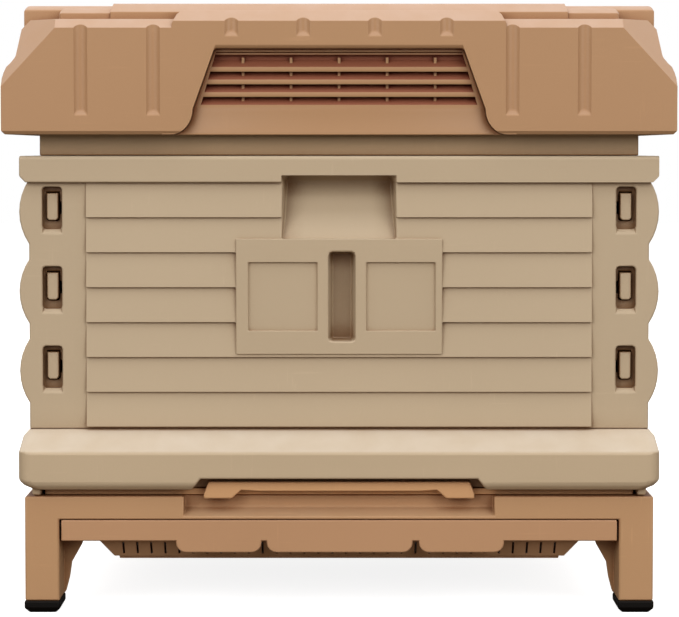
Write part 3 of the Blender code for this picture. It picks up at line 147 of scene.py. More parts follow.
def distance_between(first, second):
    """The least distance between two edges that don't cross."""
    least = 1.0
    for edge, other in ((first, second), (second, first)):
        start, end = (corner.co for corner in edge.verts)
        along = end - start
        for corner in other.verts:
            share = max(0.0, min(1.0, (corner.co - start).dot(along) / along.length_squared))
            least = min(least, (corner.co - start - along * share).length)
    return least


def limit_by_width(mould, sharp, room_of):
    """Keep the roundings on two sides of a narrow face from running into each other."""
    for face in mould.faces:
        sides = [(loop.edge, face.normal.cross(loop.link_loop_next.vert.co - loop.vert.co).normalized())
                 for loop in face.loops]
        for k, (first, inward) in enumerate(sides):
            for second, other_way in sides[k + 1:]:
                if inward.dot(other_way) > OPPOSITE_COSINE or not (first in sharp or second in sharp):
                    continue
                part = SHARE_OF_SIDE if first in sharp and second in sharp else 2 * SHARE_OF_SIDE
                room = part * distance_between(first, second)
                for edge in (first, second):
                    if edge in sharp and room > 0:
                        room_of[edge] = min(room, room_of[edge])


def add_object(name, data):
    """A new object in the scene, with this mesh, curve, lamp or camera in it."""
    added = bpy.data.objects.new(name, data)
    bpy.context.scene.collection.objects.link(added)
    return added


def moulding(node, body, rounding, wider=None):
    """A merged copy of a solid, with each edge rounded as far as its neighbours leave room.

    Wider gives some edges a rounding of their own, from the edge's direction and middle.
    """
    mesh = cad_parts[node].data.copy()
    mesh.materials.clear()
    mould = bmesh.new()
    mould.from_mesh(mesh)
    bmesh.ops.remove_doubles(mould, verts=mould.verts, dist=WELD_DISTANCE)
    split_through_holes(mould)
    bmesh.ops.dissolve_limit(mould, angle_limit=FLAT_WITHIN, verts=mould.verts,
                             edges=mould.edges, delimit={'SEAM'})
    weights = mould.edges.layers.float.new("bevel_weight_edge")
    sharp = {edge for edge in mould.edges
             if len(edge.link_faces) == 2 and edge.calc_face_angle() > SHARP_EDGE}
    line_of = {edge: edge for edge in sharp}
    room_of = {}

    def first_of_line(edge):
        while line_of[edge] is not edge:
            edge = line_of[edge]
        return edge

    for edge in sharp:
        start, end = (corner.co for corner in edge.verts)
        room = wider and wider(end - start, (start + end) / 2) or rounding
        for loop in edge.link_loops:
            before, after = loop.link_loop_prev, loop.link_loop_next
            for near, turn in ((before.edge, loop.calc_angle()), (after.edge, after.calc_angle())):
                side = SHARE_OF_SIDE * near.calc_length()
                if near not in sharp:
                    room = min(room, side * max(LEAST_SINE, math.sin(turn)))
                    continue
                room = min(room, side * math.tan(min(turn, WIDEST_TURN) / 2))
                if turn > LINE_GOES_ON:
                    line_of[first_of_line(near)] = first_of_line(edge)
        room_of[edge] = room
    limit_by_width(mould, sharp, room_of)
    room_of_line = {}
    for edge, room in room_of.items():
        first = first_of_line(edge)
        room_of_line[first] = min(room, room_of_line.get(first, room))
    widest = max(room_of_line.values())
    for edge in sharp:
        edge[weights] = room_of_line[first_of_line(edge)] / widest
    mould.to_mesh(mesh)
    mould.free()
    mesh.shade_smooth()
    mesh.set_sharp_from_angle(angle=SHARP_SHADING)
    piece = add_object(node + "_moulding", mesh)
    edges = piece.modifiers.new("rounded edges", 'BEVEL')
    edges.limit_method = 'WEIGHT'
    edges.width = widest
    edges.segments = ROUNDING_STEPS
    edges.use_clamp_overlap = False
    flat = piece.modifiers.new("flat faces", 'WEIGHTED_NORMAL')
    flat.mode = 'FACE_AREA'
    flat.weight = FLAT_FACE_WEIGHT
    flat.keep_sharp = True
    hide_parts(node)
    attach(piece, body)
    return piece


MIX_FIRST, MIX_SECOND, MIX_RESULT = 6, 7, 2


class Wiring:
    """Short ways to add nodes to one tree: a number is typed in, and a socket is linked."""

    def __init__(self, tree):
        self.nodes, self.links = tree.nodes, tree.links

    def feed(self, socket, value):
        """Give a socket a number, a vector, a colour or another node's output."""
        if isinstance(value, (int, float, tuple)):
            socket.default_value = value
        elif value is not None:
            self.links.new(value, socket)

    def worked_out(self, kind, operation, first, second):
        """The node that does one operation on one or two inputs."""
        node = self.nodes.new(kind)
        node.operation = operation
        self.feed(node.inputs[0], first)
        self.feed(node.inputs[1], second)
        return node

    def maths(self, operation, first, second):
        """A value worked out from two others."""
        return self.worked_out('ShaderNodeMath', operation, first, second).outputs[0]

    def vectors(self, operation, first, second=None):
        """A vector worked out from one or two others."""
        return self.worked_out('ShaderNodeVectorMath', operation, first, second).outputs[0]

    def measured(self, operation, first, second=None):
        """A length or a dot product worked out from one or two vectors."""
        return self.worked_out('ShaderNodeVectorMath', operation, first, second).outputs['Value']

    def ramp(self, value, low, high):
        """Nought up to low and one from high on, with a smooth rise between."""
        node = self.nodes.new('ShaderNodeMapRange')
        node.interpolation_type = 'SMOOTHSTEP'
        self.feed(node.inputs['From Min'], low)
        self.feed(node.inputs['From Max'], high)
        self.feed(node.inputs['Value'], value)
        return node.outputs[0]

    def noise(self, place, scale, detail):
        """Soft random patches, as a value from nought to one."""
        node = self.nodes.new('ShaderNodeTexNoise')
        self.feed(node.inputs['Vector'], place)
        self.feed(node.inputs['Scale'], scale)
        self.feed(node.inputs['Detail'], detail)
        return node.outputs['Fac']

    def mixed(self, share, first, second, blend='MIX'):
        """Two colours, mixed or multiplied by a share."""
        node = self.nodes.new('ShaderNodeMix')
        node.data_type = 'RGBA'
        node.blend_type = blend
        self.feed(node.inputs['Factor'], share)
        self.feed(node.inputs[MIX_FIRST], first)
        self.feed(node.inputs[MIX_SECOND], second)
        return node.outputs[MIX_RESULT]


GRAIN_DETAIL = 2.0
GRAIN_IN_TONE = 0.05
CLOUD_SCALE, CLOUD_DETAIL, CLOUDS_IN_ROUGHNESS = 7.0, 4.0, 0.22
SCUFFED_SCALE, SCUFFED_DETAIL = 17.0, 3.0
SCUFFED_FROM, SCUFFED_TO = 0.45, 0.75
SCRATCH_DETAIL = 1.0
DOWN_SCALE, DOWN_STRETCH, DOWN_FROM, DOWN_TO = 60.0, (6.0, 6.0, 0.35), 0.66, 0.74
ALONG_SCALE, ALONG_STRETCH, ALONG_FROM, ALONG_TO = 55.0, (0.3, 6.0, 7.0), 0.67, 0.75
SCUFFS_IN_TONE, SCUFFS_IN_ROUGHNESS, SCUFF_DEPTH = 0.22, 0.35, 0.6
DUST_SCALE, DUST_DETAIL, LEAST_DUST, DUST_IN_ROUGHNESS = 34.0, 5.0, 0.35, 0.8
STEEP, LEVEL = 0.3, 0.9
OPEN_TO_AIR, DEEP_INSIDE, RECESS_SAMPLES = 0.88, 0.34, 4
ROUGHEST = 0.95
GRAIN_HEIGHT = 0.0004


def moulded_skin():
    """The skin of a moulding: grain, cloudy tone, scuffs, dust with a painted sheen on top, and painted
    shade in recesses.
    """
    group = bpy.data.node_groups.new("moulded skin", 'ShaderNodeTree')
    for name, start in (("Roughness", 0.4), ("Grain Size", 0.0009), ("Grain Depth", 0.05),
                        ("Cloudiness", 0.04), ("Scuffs", 0.3), ("Dust", 0.2), ("Grime", 1.0),
                        ("Recess Width", 0.016)):
        socket = group.interface.new_socket(name, in_out='INPUT', socket_type='NodeSocketFloat')
        socket.default_value = start
    for name, kind in (("Tone", 'NodeSocketFloat'), ("Dust", 'NodeSocketFloat'),
                       ("Grime", 'NodeSocketFloat'), ("Roughness", 'NodeSocketFloat'),
                       ("Normal", 'NodeSocketVector')):
        group.interface.new_socket(name, in_out='OUTPUT', socket_type=kind)
    nodes, links = group.nodes, group.links
    wire = Wiring(group)
    maths, noise, ramp = wire.maths, wire.noise, wire.ramp
    given = nodes.new('NodeGroupInput')
    made = nodes.new('NodeGroupOutput')
    place = nodes.new('ShaderNodeTexCoord').outputs['Object']
    shape = nodes.new('ShaderNodeNewGeometry')

    grain = noise(place, maths('DIVIDE', 1.0, given.outputs['Grain Size']), GRAIN_DETAIL)
    clouds = maths('SUBTRACT', noise(place, CLOUD_SCALE, CLOUD_DETAIL), 0.5)
    patches = ramp(noise(place, SCUFFED_SCALE, SCUFFED_DETAIL), SCUFFED_FROM, SCUFFED_TO)
    down = noise(wire.vectors('MULTIPLY', place, DOWN_STRETCH), DOWN_SCALE, SCRATCH_DETAIL)
    along = noise(wire.vectors('MULTIPLY', place, ALONG_STRETCH), ALONG_SCALE, SCRATCH_DETAIL)
    scratched = maths('MAXIMUM', ramp(down, DOWN_FROM, DOWN_TO), ramp(along, ALONG_FROM, ALONG_TO))
    scratches = maths('MULTIPLY', scratched, patches)
    scuffs = maths('MULTIPLY', scratches, given.outputs['Scuffs'])
    # Dust on faces that look up; it also serves as a painted sheen of the light from above, paling
    # ledges and bevels.
    upward = nodes.new('ShaderNodeSeparateXYZ')
    links.new(shape.outputs['Normal'], upward.inputs[0])
    lying = ramp(upward.outputs['Z'], STEEP, LEVEL)
    speckled = maths('ADD', LEAST_DUST, noise(place, DUST_SCALE, DUST_DETAIL))
    settled = maths('MULTIPLY', lying, speckled)
    dust_and_sheen = maths('MULTIPLY', settled, given.outputs['Dust'])
    links.new(dust_and_sheen, made.inputs['Dust'])

    # Painted shade: ambient occlusion marks recesses and gaps between parts, and the colour is darkened
    # there.
    recess = nodes.new('ShaderNodeAmbientOcclusion')
    recess.samples = RECESS_SAMPLES
    links.new(given.outputs['Recess Width'], recess.inputs['Distance'])
    in_recess_shade = ramp(recess.outputs['AO'], OPEN_TO_AIR, DEEP_INSIDE)
    links.new(maths('MULTIPLY', in_recess_shade, given.outputs['Grime']), made.inputs['Grime'])

    tone = maths('ADD', 1.0, maths('MULTIPLY', clouds, given.outputs['Cloudiness']))
    tone = maths('ADD', tone, maths('MULTIPLY', maths('SUBTRACT', grain, 0.5), GRAIN_IN_TONE))
    tone = maths('ADD', tone, maths('MULTIPLY', scuffs, SCUFFS_IN_TONE))
    links.new(tone, made.inputs['Tone'])

    rough = maths('ADD', given.outputs['Roughness'], maths('MULTIPLY', clouds, CLOUDS_IN_ROUGHNESS))
    rough = maths('ADD', rough, maths('MULTIPLY', scuffs, SCUFFS_IN_ROUGHNESS))
    rough = maths('ADD', rough, maths('MULTIPLY', dust_and_sheen, DUST_IN_ROUGHNESS))
    links.new(maths('MINIMUM', rough, ROUGHEST), made.inputs['Roughness'])

    bump = nodes.new('ShaderNodeBump')
    bump.inputs['Distance'].default_value = GRAIN_HEIGHT
    links.new(given.outputs['Grain Depth'], bump.inputs['Strength'])
    links.new(maths('SUBTRACT', grain, maths('MULTIPLY', scuffs, SCUFF_DEPTH)), bump.inputs['Height'])
    links.new(bump.outputs[0], made.inputs['Normal'])
    return group


skin = moulded_skin()


def blank_material(name):
    """A new material, its shader and the wiring of its nodes."""
    material = bpy.data.materials.new(name)
    material.use_nodes = True
    return material, material.node_tree.nodes["Principled BSDF"], Wiring(material.node_tree)


def finish(name, colour, roughness, dust_and_sheen_colour=(0.60, 0.53, 0.43), recess_shade_tint=(0.50, 0.34, 0.24),
           specular=0.25, **wear):
    """A material of one moulded colour with the skin's grain, scuffs and dust over it, a painted sheen
    on its top faces and painted shade in its recesses.
    """
    material, shader, wire = blank_material(name)
    shader.inputs['Specular IOR Level'].default_value = specular
    surface = wire.nodes.new('ShaderNodeGroup')
    surface.node_tree = skin
    surface.inputs['Roughness'].default_value = roughness
    for socket, value in wear.items():
        surface.inputs[socket.replace("_", " ")].default_value = value
    toned = wire.mixed(1.0, (*colour, 1), surface.outputs['Tone'], 'MULTIPLY')
    # Dust, with a painted sheen, is mixed over the faces that look up.
    with_dust_and_sheen = wire.mixed(surface.outputs['Dust'], toned, (*dust_and_sheen_colour, 1))
    # Painted shade: the recess mask multiplies a dark warm tint into the colour.
    with_recess_shade = wire.mixed(surface.outputs['Grime'], with_dust_and_sheen, (*recess_shade_tint, 1), 'MULTIPLY')
    wire.links.new(with_recess_shade, shader.inputs['Base Color'])
    wire.links.new(surface.outputs['Roughness'], shader.inputs['Roughness'])
    wire.links.new(surface.outputs['Normal'], shader.inputs['Normal'])
    return material


rubber = finish("foot rubber", RUBBER_BLACK, roughness=0.62, dust_and_sheen_colour=GROUND_DUST, specular=0.10,
                Grain_Size=0.0012, Grain_Depth=0.25, Cloudiness=0.5, Scuffs=0.4, Dust=0.3)
for corner in ("front_left", "front_right", "rear_left", "rear_right"):
    foot = moulding(f"foot_{corner}", "stand", FOOT_ROUNDING)
    foot.data.materials.append(rubber)


# Stand
# One injection moulding of tan recycled plastic: a top flange, four gusseted legs, runners
# for the lower drawer, and a recess in the front rail so that fingers get under the pull.

STAND_TAN = (0.482, 0.278, 0.142)
STAND_ROUNDING = 0.0016

stand_plastic = finish("stand tan plastic", STAND_TAN, roughness=0.44,
                       Grain_Size=0.0010, Grain_Depth=0.10, Cloudiness=0.10, Scuffs=0.45, Dust=0.10)
stand = moulding("stand_frame", "stand", STAND_ROUNDING)
stand.data.materials.append(stand_plastic)


# Lower drawer
# A tan moulding that catches what falls through the floor. Its front has three hanging
# lobes, and the slotted hopper behind hangs on a flange that runs on the stand.

DRAWER_TAN = (0.484, 0.272, 0.146)
DRAWER_SHADE_TINT = (0.50, 0.28, 0.17)
DRAWER_ROUNDING = 0.0011

# Painted shade, with a red tint, darkens the hopper and the drawer's other recesses.
drawer_plastic = finish("drawer tan plastic", DRAWER_TAN, roughness=0.40, recess_shade_tint=DRAWER_SHADE_TINT,
                        Grain_Size=0.0009, Grain_Depth=0.08, Cloudiness=0.08, Scuffs=0.35, Dust=0.16)
drawer = moulding("debris_tray", "debris_drawer", DRAWER_ROUNDING)
drawer.data.materials.append(drawer_plastic)


# Upper drawer
# A thin tan tray of the same plastic that slides under the screen. Fingers hook behind
# its arched pull bar, so the bar is rubbed smoother. Its tan is painted lighter, as painted light,
# since it sits in shade under the floor's ledge.

PULL_TAN_PAINTED_LIGHTER = (0.640, 0.360, 0.176)
PULL_ROUNDING = 0.0012

pull_plastic_painted_lighter = finish("pull tan plastic, painted lighter", PULL_TAN_PAINTED_LIGHTER, roughness=0.35,
                      Grain_Size=0.0009, Grain_Depth=0.06, Cloudiness=0.06, Scuffs=0.5,
                      Dust=0.12, Grime=0.35)
pest_tray = moulding("pest_tray", "pest_drawer", PULL_ROUNDING)
pest_tray.data.materials.append(pull_plastic_painted_lighter)


# Floor
# The beige bottom board is one hollow moulding with a sloping ledge all round, the notch
# for the pull in front and the bees' entrance at the back. Dust and a painted sheen of the light from
# above pale its ledge.

FLOOR_BEIGE = (0.502, 0.386, 0.254)
LEDGE_DUST_AND_SHEEN = (0.74, 0.68, 0.60)
FLOOR_ROUNDING = 0.0022
LEDGE_CORNER_ROUNDING = 0.006
LEDGE_CORNER_REACH = 0.012
LEDGE_CORNER_RISE = 0.004

ledge_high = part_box("bottom_board")[1]


def ledge_rounding(along, middle):
    """Broad on the ledge's four corners, where the mould is blended."""
    at_corner = (abs(middle.x) > ledge_high.x - LEDGE_CORNER_REACH
                 and abs(middle.y) > ledge_high.y - LEDGE_CORNER_REACH)
    return LEDGE_CORNER_ROUNDING if at_corner and abs(along.z) > LEDGE_CORNER_RISE else FLOOR_ROUNDING


floor_plastic = finish("floor beige plastic", FLOOR_BEIGE, roughness=0.40, dust_and_sheen_colour=LEDGE_DUST_AND_SHEEN,
                       Grain_Size=0.0010, Grain_Depth=0.08, Cloudiness=0.07, Scuffs=0.2, Dust=0.45)
floor_board = moulding("bottom_board", "floor", FLOOR_ROUNDING, ledge_rounding)
floor_board.data.materials.append(floor_plastic)


# Floor screen
# A thin cream moulding that lies loose in the floor's well. Debris falls through its
# rows of long slots, and a speckle of hive debris lies on its faces that look up.

SCREEN_CREAM = (0.70, 0.61, 0.43)
HIVE_DEBRIS = (0.36, 0.24, 0.12)
SCREEN_ROUNDING = 0.0005

screen_plastic = finish("screen cream plastic", SCREEN_CREAM, roughness=0.5, dust_and_sheen_colour=HIVE_DEBRIS,
                        Grain_Size=0.0012, Grain_Depth=0.08, Cloudiness=0.16, Scuffs=0.3, Dust=0.45)
screen = moulding("floor_screen", "floor", SCREEN_ROUNDING)
screen.data.materials.append(screen_plastic)


# Entrance gate
# A tan plate pushed along the ledge's groove by its tab: open at rest, and closed with a
# row of air slits in front of the entrance. Sliding has polished its faces.

GATE_ROUNDING = 0.0006

gate = moulding("entrance_gate", "gate", GATE_ROUNDING)
# The gate takes the pull's tan, which is painted lighter as painted light.
gate.data.materials.append(pull_plastic_painted_lighter)


# Brood chamber walls
# Four beige double-walled panels, blown hollow: two long ones with lapped boards, a
# hand-hold and a plaque, and two ends whose hooks catch in the long walls' windows.

WALL_BEIGE = (0.468, 0.364, 0.244)
WALL_SHADE_TINT = (0.40, 0.24, 0.13)
BEIGE_DUST = (0.66, 0.58, 0.47)
WALL_ROUNDING = 0.0013
LAP_ROUNDING = 0.0005
LAP_LENGTH = 0.02
RIM_FOOT_HEIGHT = 0.384
LEVEL_SLOPE = 0.1


def lies_level(along):
    """True for an edge that hardly rises."""
    return abs(along.z) < LEVEL_SLOPE * along.length


def wall_rounding(along, middle):
    """Tight on the boards' laps and the plaque, which the mould leaves crisp."""
    lap = lies_level(along) and along.length > LAP_LENGTH and middle.z < RIM_FOOT_HEIGHT
    return LAP_ROUNDING if lap else WALL_ROUNDING


# Painted shade darkens the windows, laps, hand-hold and other recesses of the walls.
wall_plastic = finish("wall beige plastic", WALL_BEIGE, roughness=0.40, dust_and_sheen_colour=BEIGE_DUST,
                      recess_shade_tint=WALL_SHADE_TINT, Grain_Size=0.0010, Grain_Depth=0.08, Cloudiness=0.06,
                      Scuffs=0.25, Dust=0.15, Recess_Width=0.020)
for side in ("front", "rear", "left", "right"):
    panel = moulding(f"{side}_panel", "hive_body", WALL_ROUNDING, wall_rounding)
    panel.data.materials.append(wall_plastic)


# Frames
# Ten cream frames moulded in one with their sheets of foundation. The lugs hang on the
# end walls' rebates, and the sheets are rolled with six-sided cells and coated with wax.

FRAME_COUNT = 10
FRAME_CREAM = (0.73, 0.65, 0.47)
HANDLED_BROWN = (0.45, 0.30, 0.13)
FRAME_ROUNDING = 0.0007
FOUNDATION_HALF = 0.0017
FACES_OUT_COSINE = 0.9

DARK_WAX, PALE_WAX, WAX_RIDGE_HIGHLIGHT = (0.52, 0.27, 0.055), (0.72, 0.44, 0.12), (0.84, 0.60, 0.24)
CELL_WIDTH = 0.0053
CELL_WALL_FROM, CELL_WALL_TO = 0.40, 0.48
CELL_DEPTH, CELL_FLOOR_SLANT, CELL_RELIEF = 0.0012, 0.8, 0.8
CELLS_ASIDE = 400.0
WAX_CLOUD_SCALE, WAX_CLOUD_DETAIL = 22.0, 4.0
WAX_DARK_UP_TO, WAX_PALE_FROM = 0.3, 0.75
WAX_ROUGHNESS, WAX_ROUGHNESS_RANGE = 0.34, 0.2
VECTOR_FIRST, VECTOR_SECOND, VECTOR_RESULT = 4, 5, 1


def waxed_foundation():
    """Amber wax over rolled cells: each wall stands up between two slanting cell floors, its ridge
    painted paler as a painted highlight.
    """
    material, shader, wire = blank_material("waxed foundation")
    nodes, links, maths, vectors = wire.nodes, wire.links, wire.maths, wire.vectors
    place = nodes.new('ShaderNodeTexCoord').outputs['Object']

    row = math.sqrt(3)
    flat = vectors('MULTIPLY', place, (1 / CELL_WIDTH, 0, 1 / CELL_WIDTH))
    moved = vectors('ADD', flat, (CELLS_ASIDE, 0.5, CELLS_ASIDE * row))
    nearest = []
    for shift in ((0, 0, 0), (0.5, 0, row / 2)):
        started = vectors('ADD', moved, shift)
        wrapped = vectors('MODULO', started, (1.0, 1.0, row))
        centred = vectors('SUBTRACT', wrapped, (0.5, 0.5, row / 2))
        nearest.append(vectors('MULTIPLY', centred, (1, 0, 1)))
    lengths = [wire.measured('LENGTH', point) for point in nearest]
    pick = maths('LESS_THAN', lengths[1], lengths[0])
    cell = nodes.new('ShaderNodeMix')
    cell.data_type = 'VECTOR'
    links.new(pick, cell.inputs['Factor'])
    links.new(nearest[0], cell.inputs[VECTOR_FIRST])
    links.new(nearest[1], cell.inputs[VECTOR_SECOND])
    folded = vectors('ABSOLUTE', cell.outputs[VECTOR_RESULT])
    slanted = wire.measured('DOT_PRODUCT', folded, (0.5, 0, row / 2))
    upright = wire.measured('DOT_PRODUCT', folded, (1, 0, 0))
    from_middle = maths('MAXIMUM', slanted, upright)
    wall = wire.ramp(from_middle, CELL_WALL_FROM, CELL_WALL_TO)

    clouds = wire.noise(place, WAX_CLOUD_SCALE, WAX_CLOUD_DETAIL)
    wax = nodes.new('ShaderNodeValToRGB')
    for element, position, colour in zip(wax.color_ramp.elements, (WAX_DARK_UP_TO, WAX_PALE_FROM),
                                         (DARK_WAX, PALE_WAX)):
        element.position = position
        element.color = (*colour, 1)
    links.new(clouds, wax.inputs['Fac'])
    lit = wire.mixed(wall, wax.outputs['Color'], (*WAX_RIDGE_HIGHLIGHT, 1))
    links.new(lit, shader.inputs['Base Color'])

    uneven = maths('MULTIPLY', clouds, WAX_ROUGHNESS_RANGE)
    links.new(maths('ADD', WAX_ROUGHNESS, uneven), shader.inputs['Roughness'])
    bump = nodes.new('ShaderNodeBump')
    bump.inputs['Strength'].default_value = CELL_RELIEF
    bump.inputs['Distance'].default_value = CELL_DEPTH
    slant = maths('MULTIPLY', from_middle, CELL_FLOOR_SLANT)
    links.new(maths('ADD', wall, slant), bump.inputs['Height'])
    links.new(bump.outputs[0], shader.inputs['Normal'])
    return material


frame_plastic = finish("frame cream plastic", FRAME_CREAM, roughness=0.46, dust_and_sheen_colour=HANDLED_BROWN,
                       Grain_Size=0.0010, Grain_Depth=0.08, Cloudiness=0.10, Scuffs=0.4, Dust=0.35)
foundation = waxed_foundation()
for number in range(1, FRAME_COUNT + 1):
    node = f"frame_{number:02d}"
    low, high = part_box(node)
    middle = (low.y + high.y) / 2
    hanging = moulding(node, "frame_set", FRAME_ROUNDING)
    hanging.data.materials.append(frame_plastic)
    hanging.data.materials.append(foundation)
    for face in hanging.data.polygons:
        if abs(face.normal.y) > FACES_OUT_COSINE and abs(face.center.y - middle) < FOUNDATION_HALF:
            face.material_index = 1


# Feeder
# The beige inner cover under the roof is a syrup tray with two basins, and the bees
# climb to it through the chimney in its middle. Only its rim shows in the closed hive.
# Its beige is painted darker and redder than the walls', as painted shade under the roof.

FEEDER_BEIGE_PAINTED_DARKER = (0.426, 0.296, 0.170)
FEEDER_ROUNDING = 0.0010

feeder_plastic_painted_darker = finish("feeder beige plastic, painted darker", FEEDER_BEIGE_PAINTED_DARKER, roughness=0.38, dust_and_sheen_colour=BEIGE_DUST,
                        Grain_Size=0.0010, Grain_Depth=0.06, Cloudiness=0.06, Scuffs=0.25, Dust=0.10)
feeder = moulding("feeder_tray", "feeder", FEEDER_ROUNDING)
feeder.data.materials.append(feeder_plastic_painted_darker)


# Feeder cap
# A thin clear smoky cap over the chimney keeps the bees out of the basins. It is
# pressed from polycarbonate, with notches along its foot that let the syrup in.

CAP_ROUNDING = 0.0006
SMOKE_DARK, SMOKE_PALE = (0.62, 0.64, 0.63), (0.80, 0.82, 0.80)
CLEARNESS = 0.92
POLYCARBONATE_IOR = 1.57
HAZE_SCALE, HAZE_DETAIL = 45.0, 5.0
HAZE_FROM, HAZE_TO = 0.45, 0.75
CLEAR_ROUGHNESS, HAZY_ROUGHNESS = 0.07, 0.30


def smoky_clear():
    """Clear plastic with a faint grey tint, a little clouded where it has been handled."""
    material, shader, wire = blank_material("smoky clear plastic")
    shader.inputs['Transmission Weight'].default_value = CLEARNESS
    shader.inputs['IOR'].default_value = POLYCARBONATE_IOR
    place = wire.nodes.new('ShaderNodeTexCoord').outputs['Object']
    haze = wire.noise(place, HAZE_SCALE, HAZE_DETAIL)
    tint = wire.nodes.new('ShaderNodeValToRGB')
    for element, colour in zip(tint.color_ramp.elements, (SMOKE_DARK, SMOKE_PALE)):
        element.color = (*colour, 1)
    wire.links.new(haze, tint.inputs['Fac'])
    wire.links.new(tint.outputs['Color'], shader.inputs['Base Color'])
    clouded = wire.nodes.new('ShaderNodeMapRange')
    for socket, value in (("Value", haze), ("From Min", HAZE_FROM), ("From Max", HAZE_TO),
                          ("To Min", CLEAR_ROUGHNESS), ("To Max", HAZY_ROUGHNESS)):
        wire.feed(clouded.inputs[socket], value)
    wire.links.new(clouded.outputs[0], shader.inputs['Roughness'])
    return material


cap = moulding("feeder_cap", "cap", CAP_ROUNDING)
cap.data.materials.append(smoky_clear())


# Roof
# One tan moulding with a stepped crown, cut corners, drip channels, and an arch in front
# for the vent. Dust and a painted sheen of the light from above pale its top, bevels and pads.

ROOF_TAN = (0.412, 0.236, 0.122)
ROOF_ROUNDING = 0.0022
CORNER_ROUNDING = 0.0045
ARCH_ROUNDING = 0.0032
LOWER_EDGE_ROUNDING = 0.0036
CROWN_FOOT_ROUNDING = 0.0002
ROOF_DUST_AND_SHEEN = (0.59, 0.46, 0.40)
UPRIGHT_SLOPE = 0.9
SKIRT_CORNER_LENGTH = 0.03
CROWN_FOOT_DROP = 0.0055
CROWN_END_FROM, CROWN_END_TO = 0.2030, 0.2060
ARCH_REACH = 0.001
ON_THE_FACE = 0.0005

roof_low, roof_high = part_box("roof_shell")
vent_low, vent_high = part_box("roof_grille")


def roof_rounding(along, middle):
    """Broad on the skirt's upright corners and the vent's arch, tight at the foot of the crown."""
    upright = abs(along.z) > UPRIGHT_SLOPE * along.length
    if upright and along.length > SKIRT_CORNER_LENGTH and middle.z < vent_high.z:
        return CORNER_ROUNDING
    in_front = abs(middle.y - roof_low.y) < ON_THE_FACE
    if in_front and abs(middle.x) < vent_high.x + ARCH_REACH and middle.z < vent_high.z + ARCH_REACH:
        return ARCH_ROUNDING
    if middle.z > roof_high.z - CROWN_FOOT_DROP and CROWN_END_FROM < abs(middle.x) < CROWN_END_TO:
        return CROWN_FOOT_ROUNDING
    if lies_level(along) and middle.z < roof_low.z + ON_THE_FACE:
        return LOWER_EDGE_ROUNDING
    return ROOF_ROUNDING


roof_plastic = finish("roof tan plastic", ROOF_TAN, roughness=0.38, dust_and_sheen_colour=ROOF_DUST_AND_SHEEN,
                      Grain_Size=0.0010, Grain_Depth=0.08, Cloudiness=0.07, Scuffs=0.3, Dust=0.55)
roof = moulding("roof_shell", "roof", ROOF_ROUNDING, roof_rounding)
roof.data.materials.append(roof_plastic)


# Vent grille
# A tan plate snapped into the roof's arch. An apron closes its lower part, and behind and
# above it four louvres rise inwards, each up to the next one's foot, on five upright ribs.
# Their up and down faces and the web behind them are a dark red-brown of painted shade.

VENT_TAN, VENT_SHADE_TINT = (0.394, 0.222, 0.112), (0.40, 0.22, 0.18)
LOUVRE_PAINTED_SHADE_BROWN, LOUVRE_SHADE_TINT = (0.245, 0.086, 0.048), (0.45, 0.25, 0.22)
PLATE_THICKNESS = 0.0050
PLATE_ROUNDING = 0.0005
ARCH_TOP_HALF = 0.1111
ARCH_SIDE_HALF = 0.1306
ARCH_FOOT_HALF = 0.1502
ARCH_FOOT_RISE = 0.0226
ARCH_STEPS = 12
TOP_FRAME = 0.0026
SIDE_FRAME_AT_TOP = 0.0015
SIDE_FRAME_AT_FOOT = 0.0055
APRON_TOP = 0.0268
SLATS_SEEN = 3
SLAT_HEIGHT = 0.0042
SLAT_THICKNESS = 0.0024
SLAT_DEPTH = 0.0090
SLAT_SETBACK = 0.0002
SLAT_TAPER = 0.98
NOSE_SHARE = 0.08
NOSE_STEPS = 6
TOP_SLOT = 0.0134
RIB_COUNT = 5
RIB_PITCH = 0.0431
RIB_WIDTH = 0.0024
RIB_SETBACK = 0.0045
RIB_DROP = 0.0042
RIB_CHAMFER = 0.0008
RAIL_HEIGHT = 0.0020
RAIL_SETBACK = 0.0030
RAIL_DROP = 0.0008
RAIL_SLOPE = 0.0020
RAIL_CHAMFER = 0.0006
WEB_THICKNESS = 0.0010
WEB_OVERLAP = 0.0010
BEHIND_SLATS = 0.0001
INSIDE_DEPTH = 0.0015
INSIDE_MARGIN = 0.0005
WEB_DEPTH = 0.0078
TURNED_UP_OR_DOWN = 0.5
SHARP_BAR = math.radians(50)

vent_foot, vent_top, vent_front = vent_low.z, vent_high.z, vent_low.y
window_low, window_high = vent_foot + APRON_TOP, vent_top - TOP_FRAME


def vent_half(height):
    """Half the window's width at a height; its sides slope more than the arch's do."""
    share = (vent_top - height) / (vent_top - vent_foot - ARCH_FOOT_RISE)
    side_frame = SIDE_FRAME_AT_TOP + (SIDE_FRAME_AT_FOOT - SIDE_FRAME_AT_TOP) * share
    return ARCH_TOP_HALF + (ARCH_SIDE_HALF - ARCH_TOP_HALF) * share - side_frame


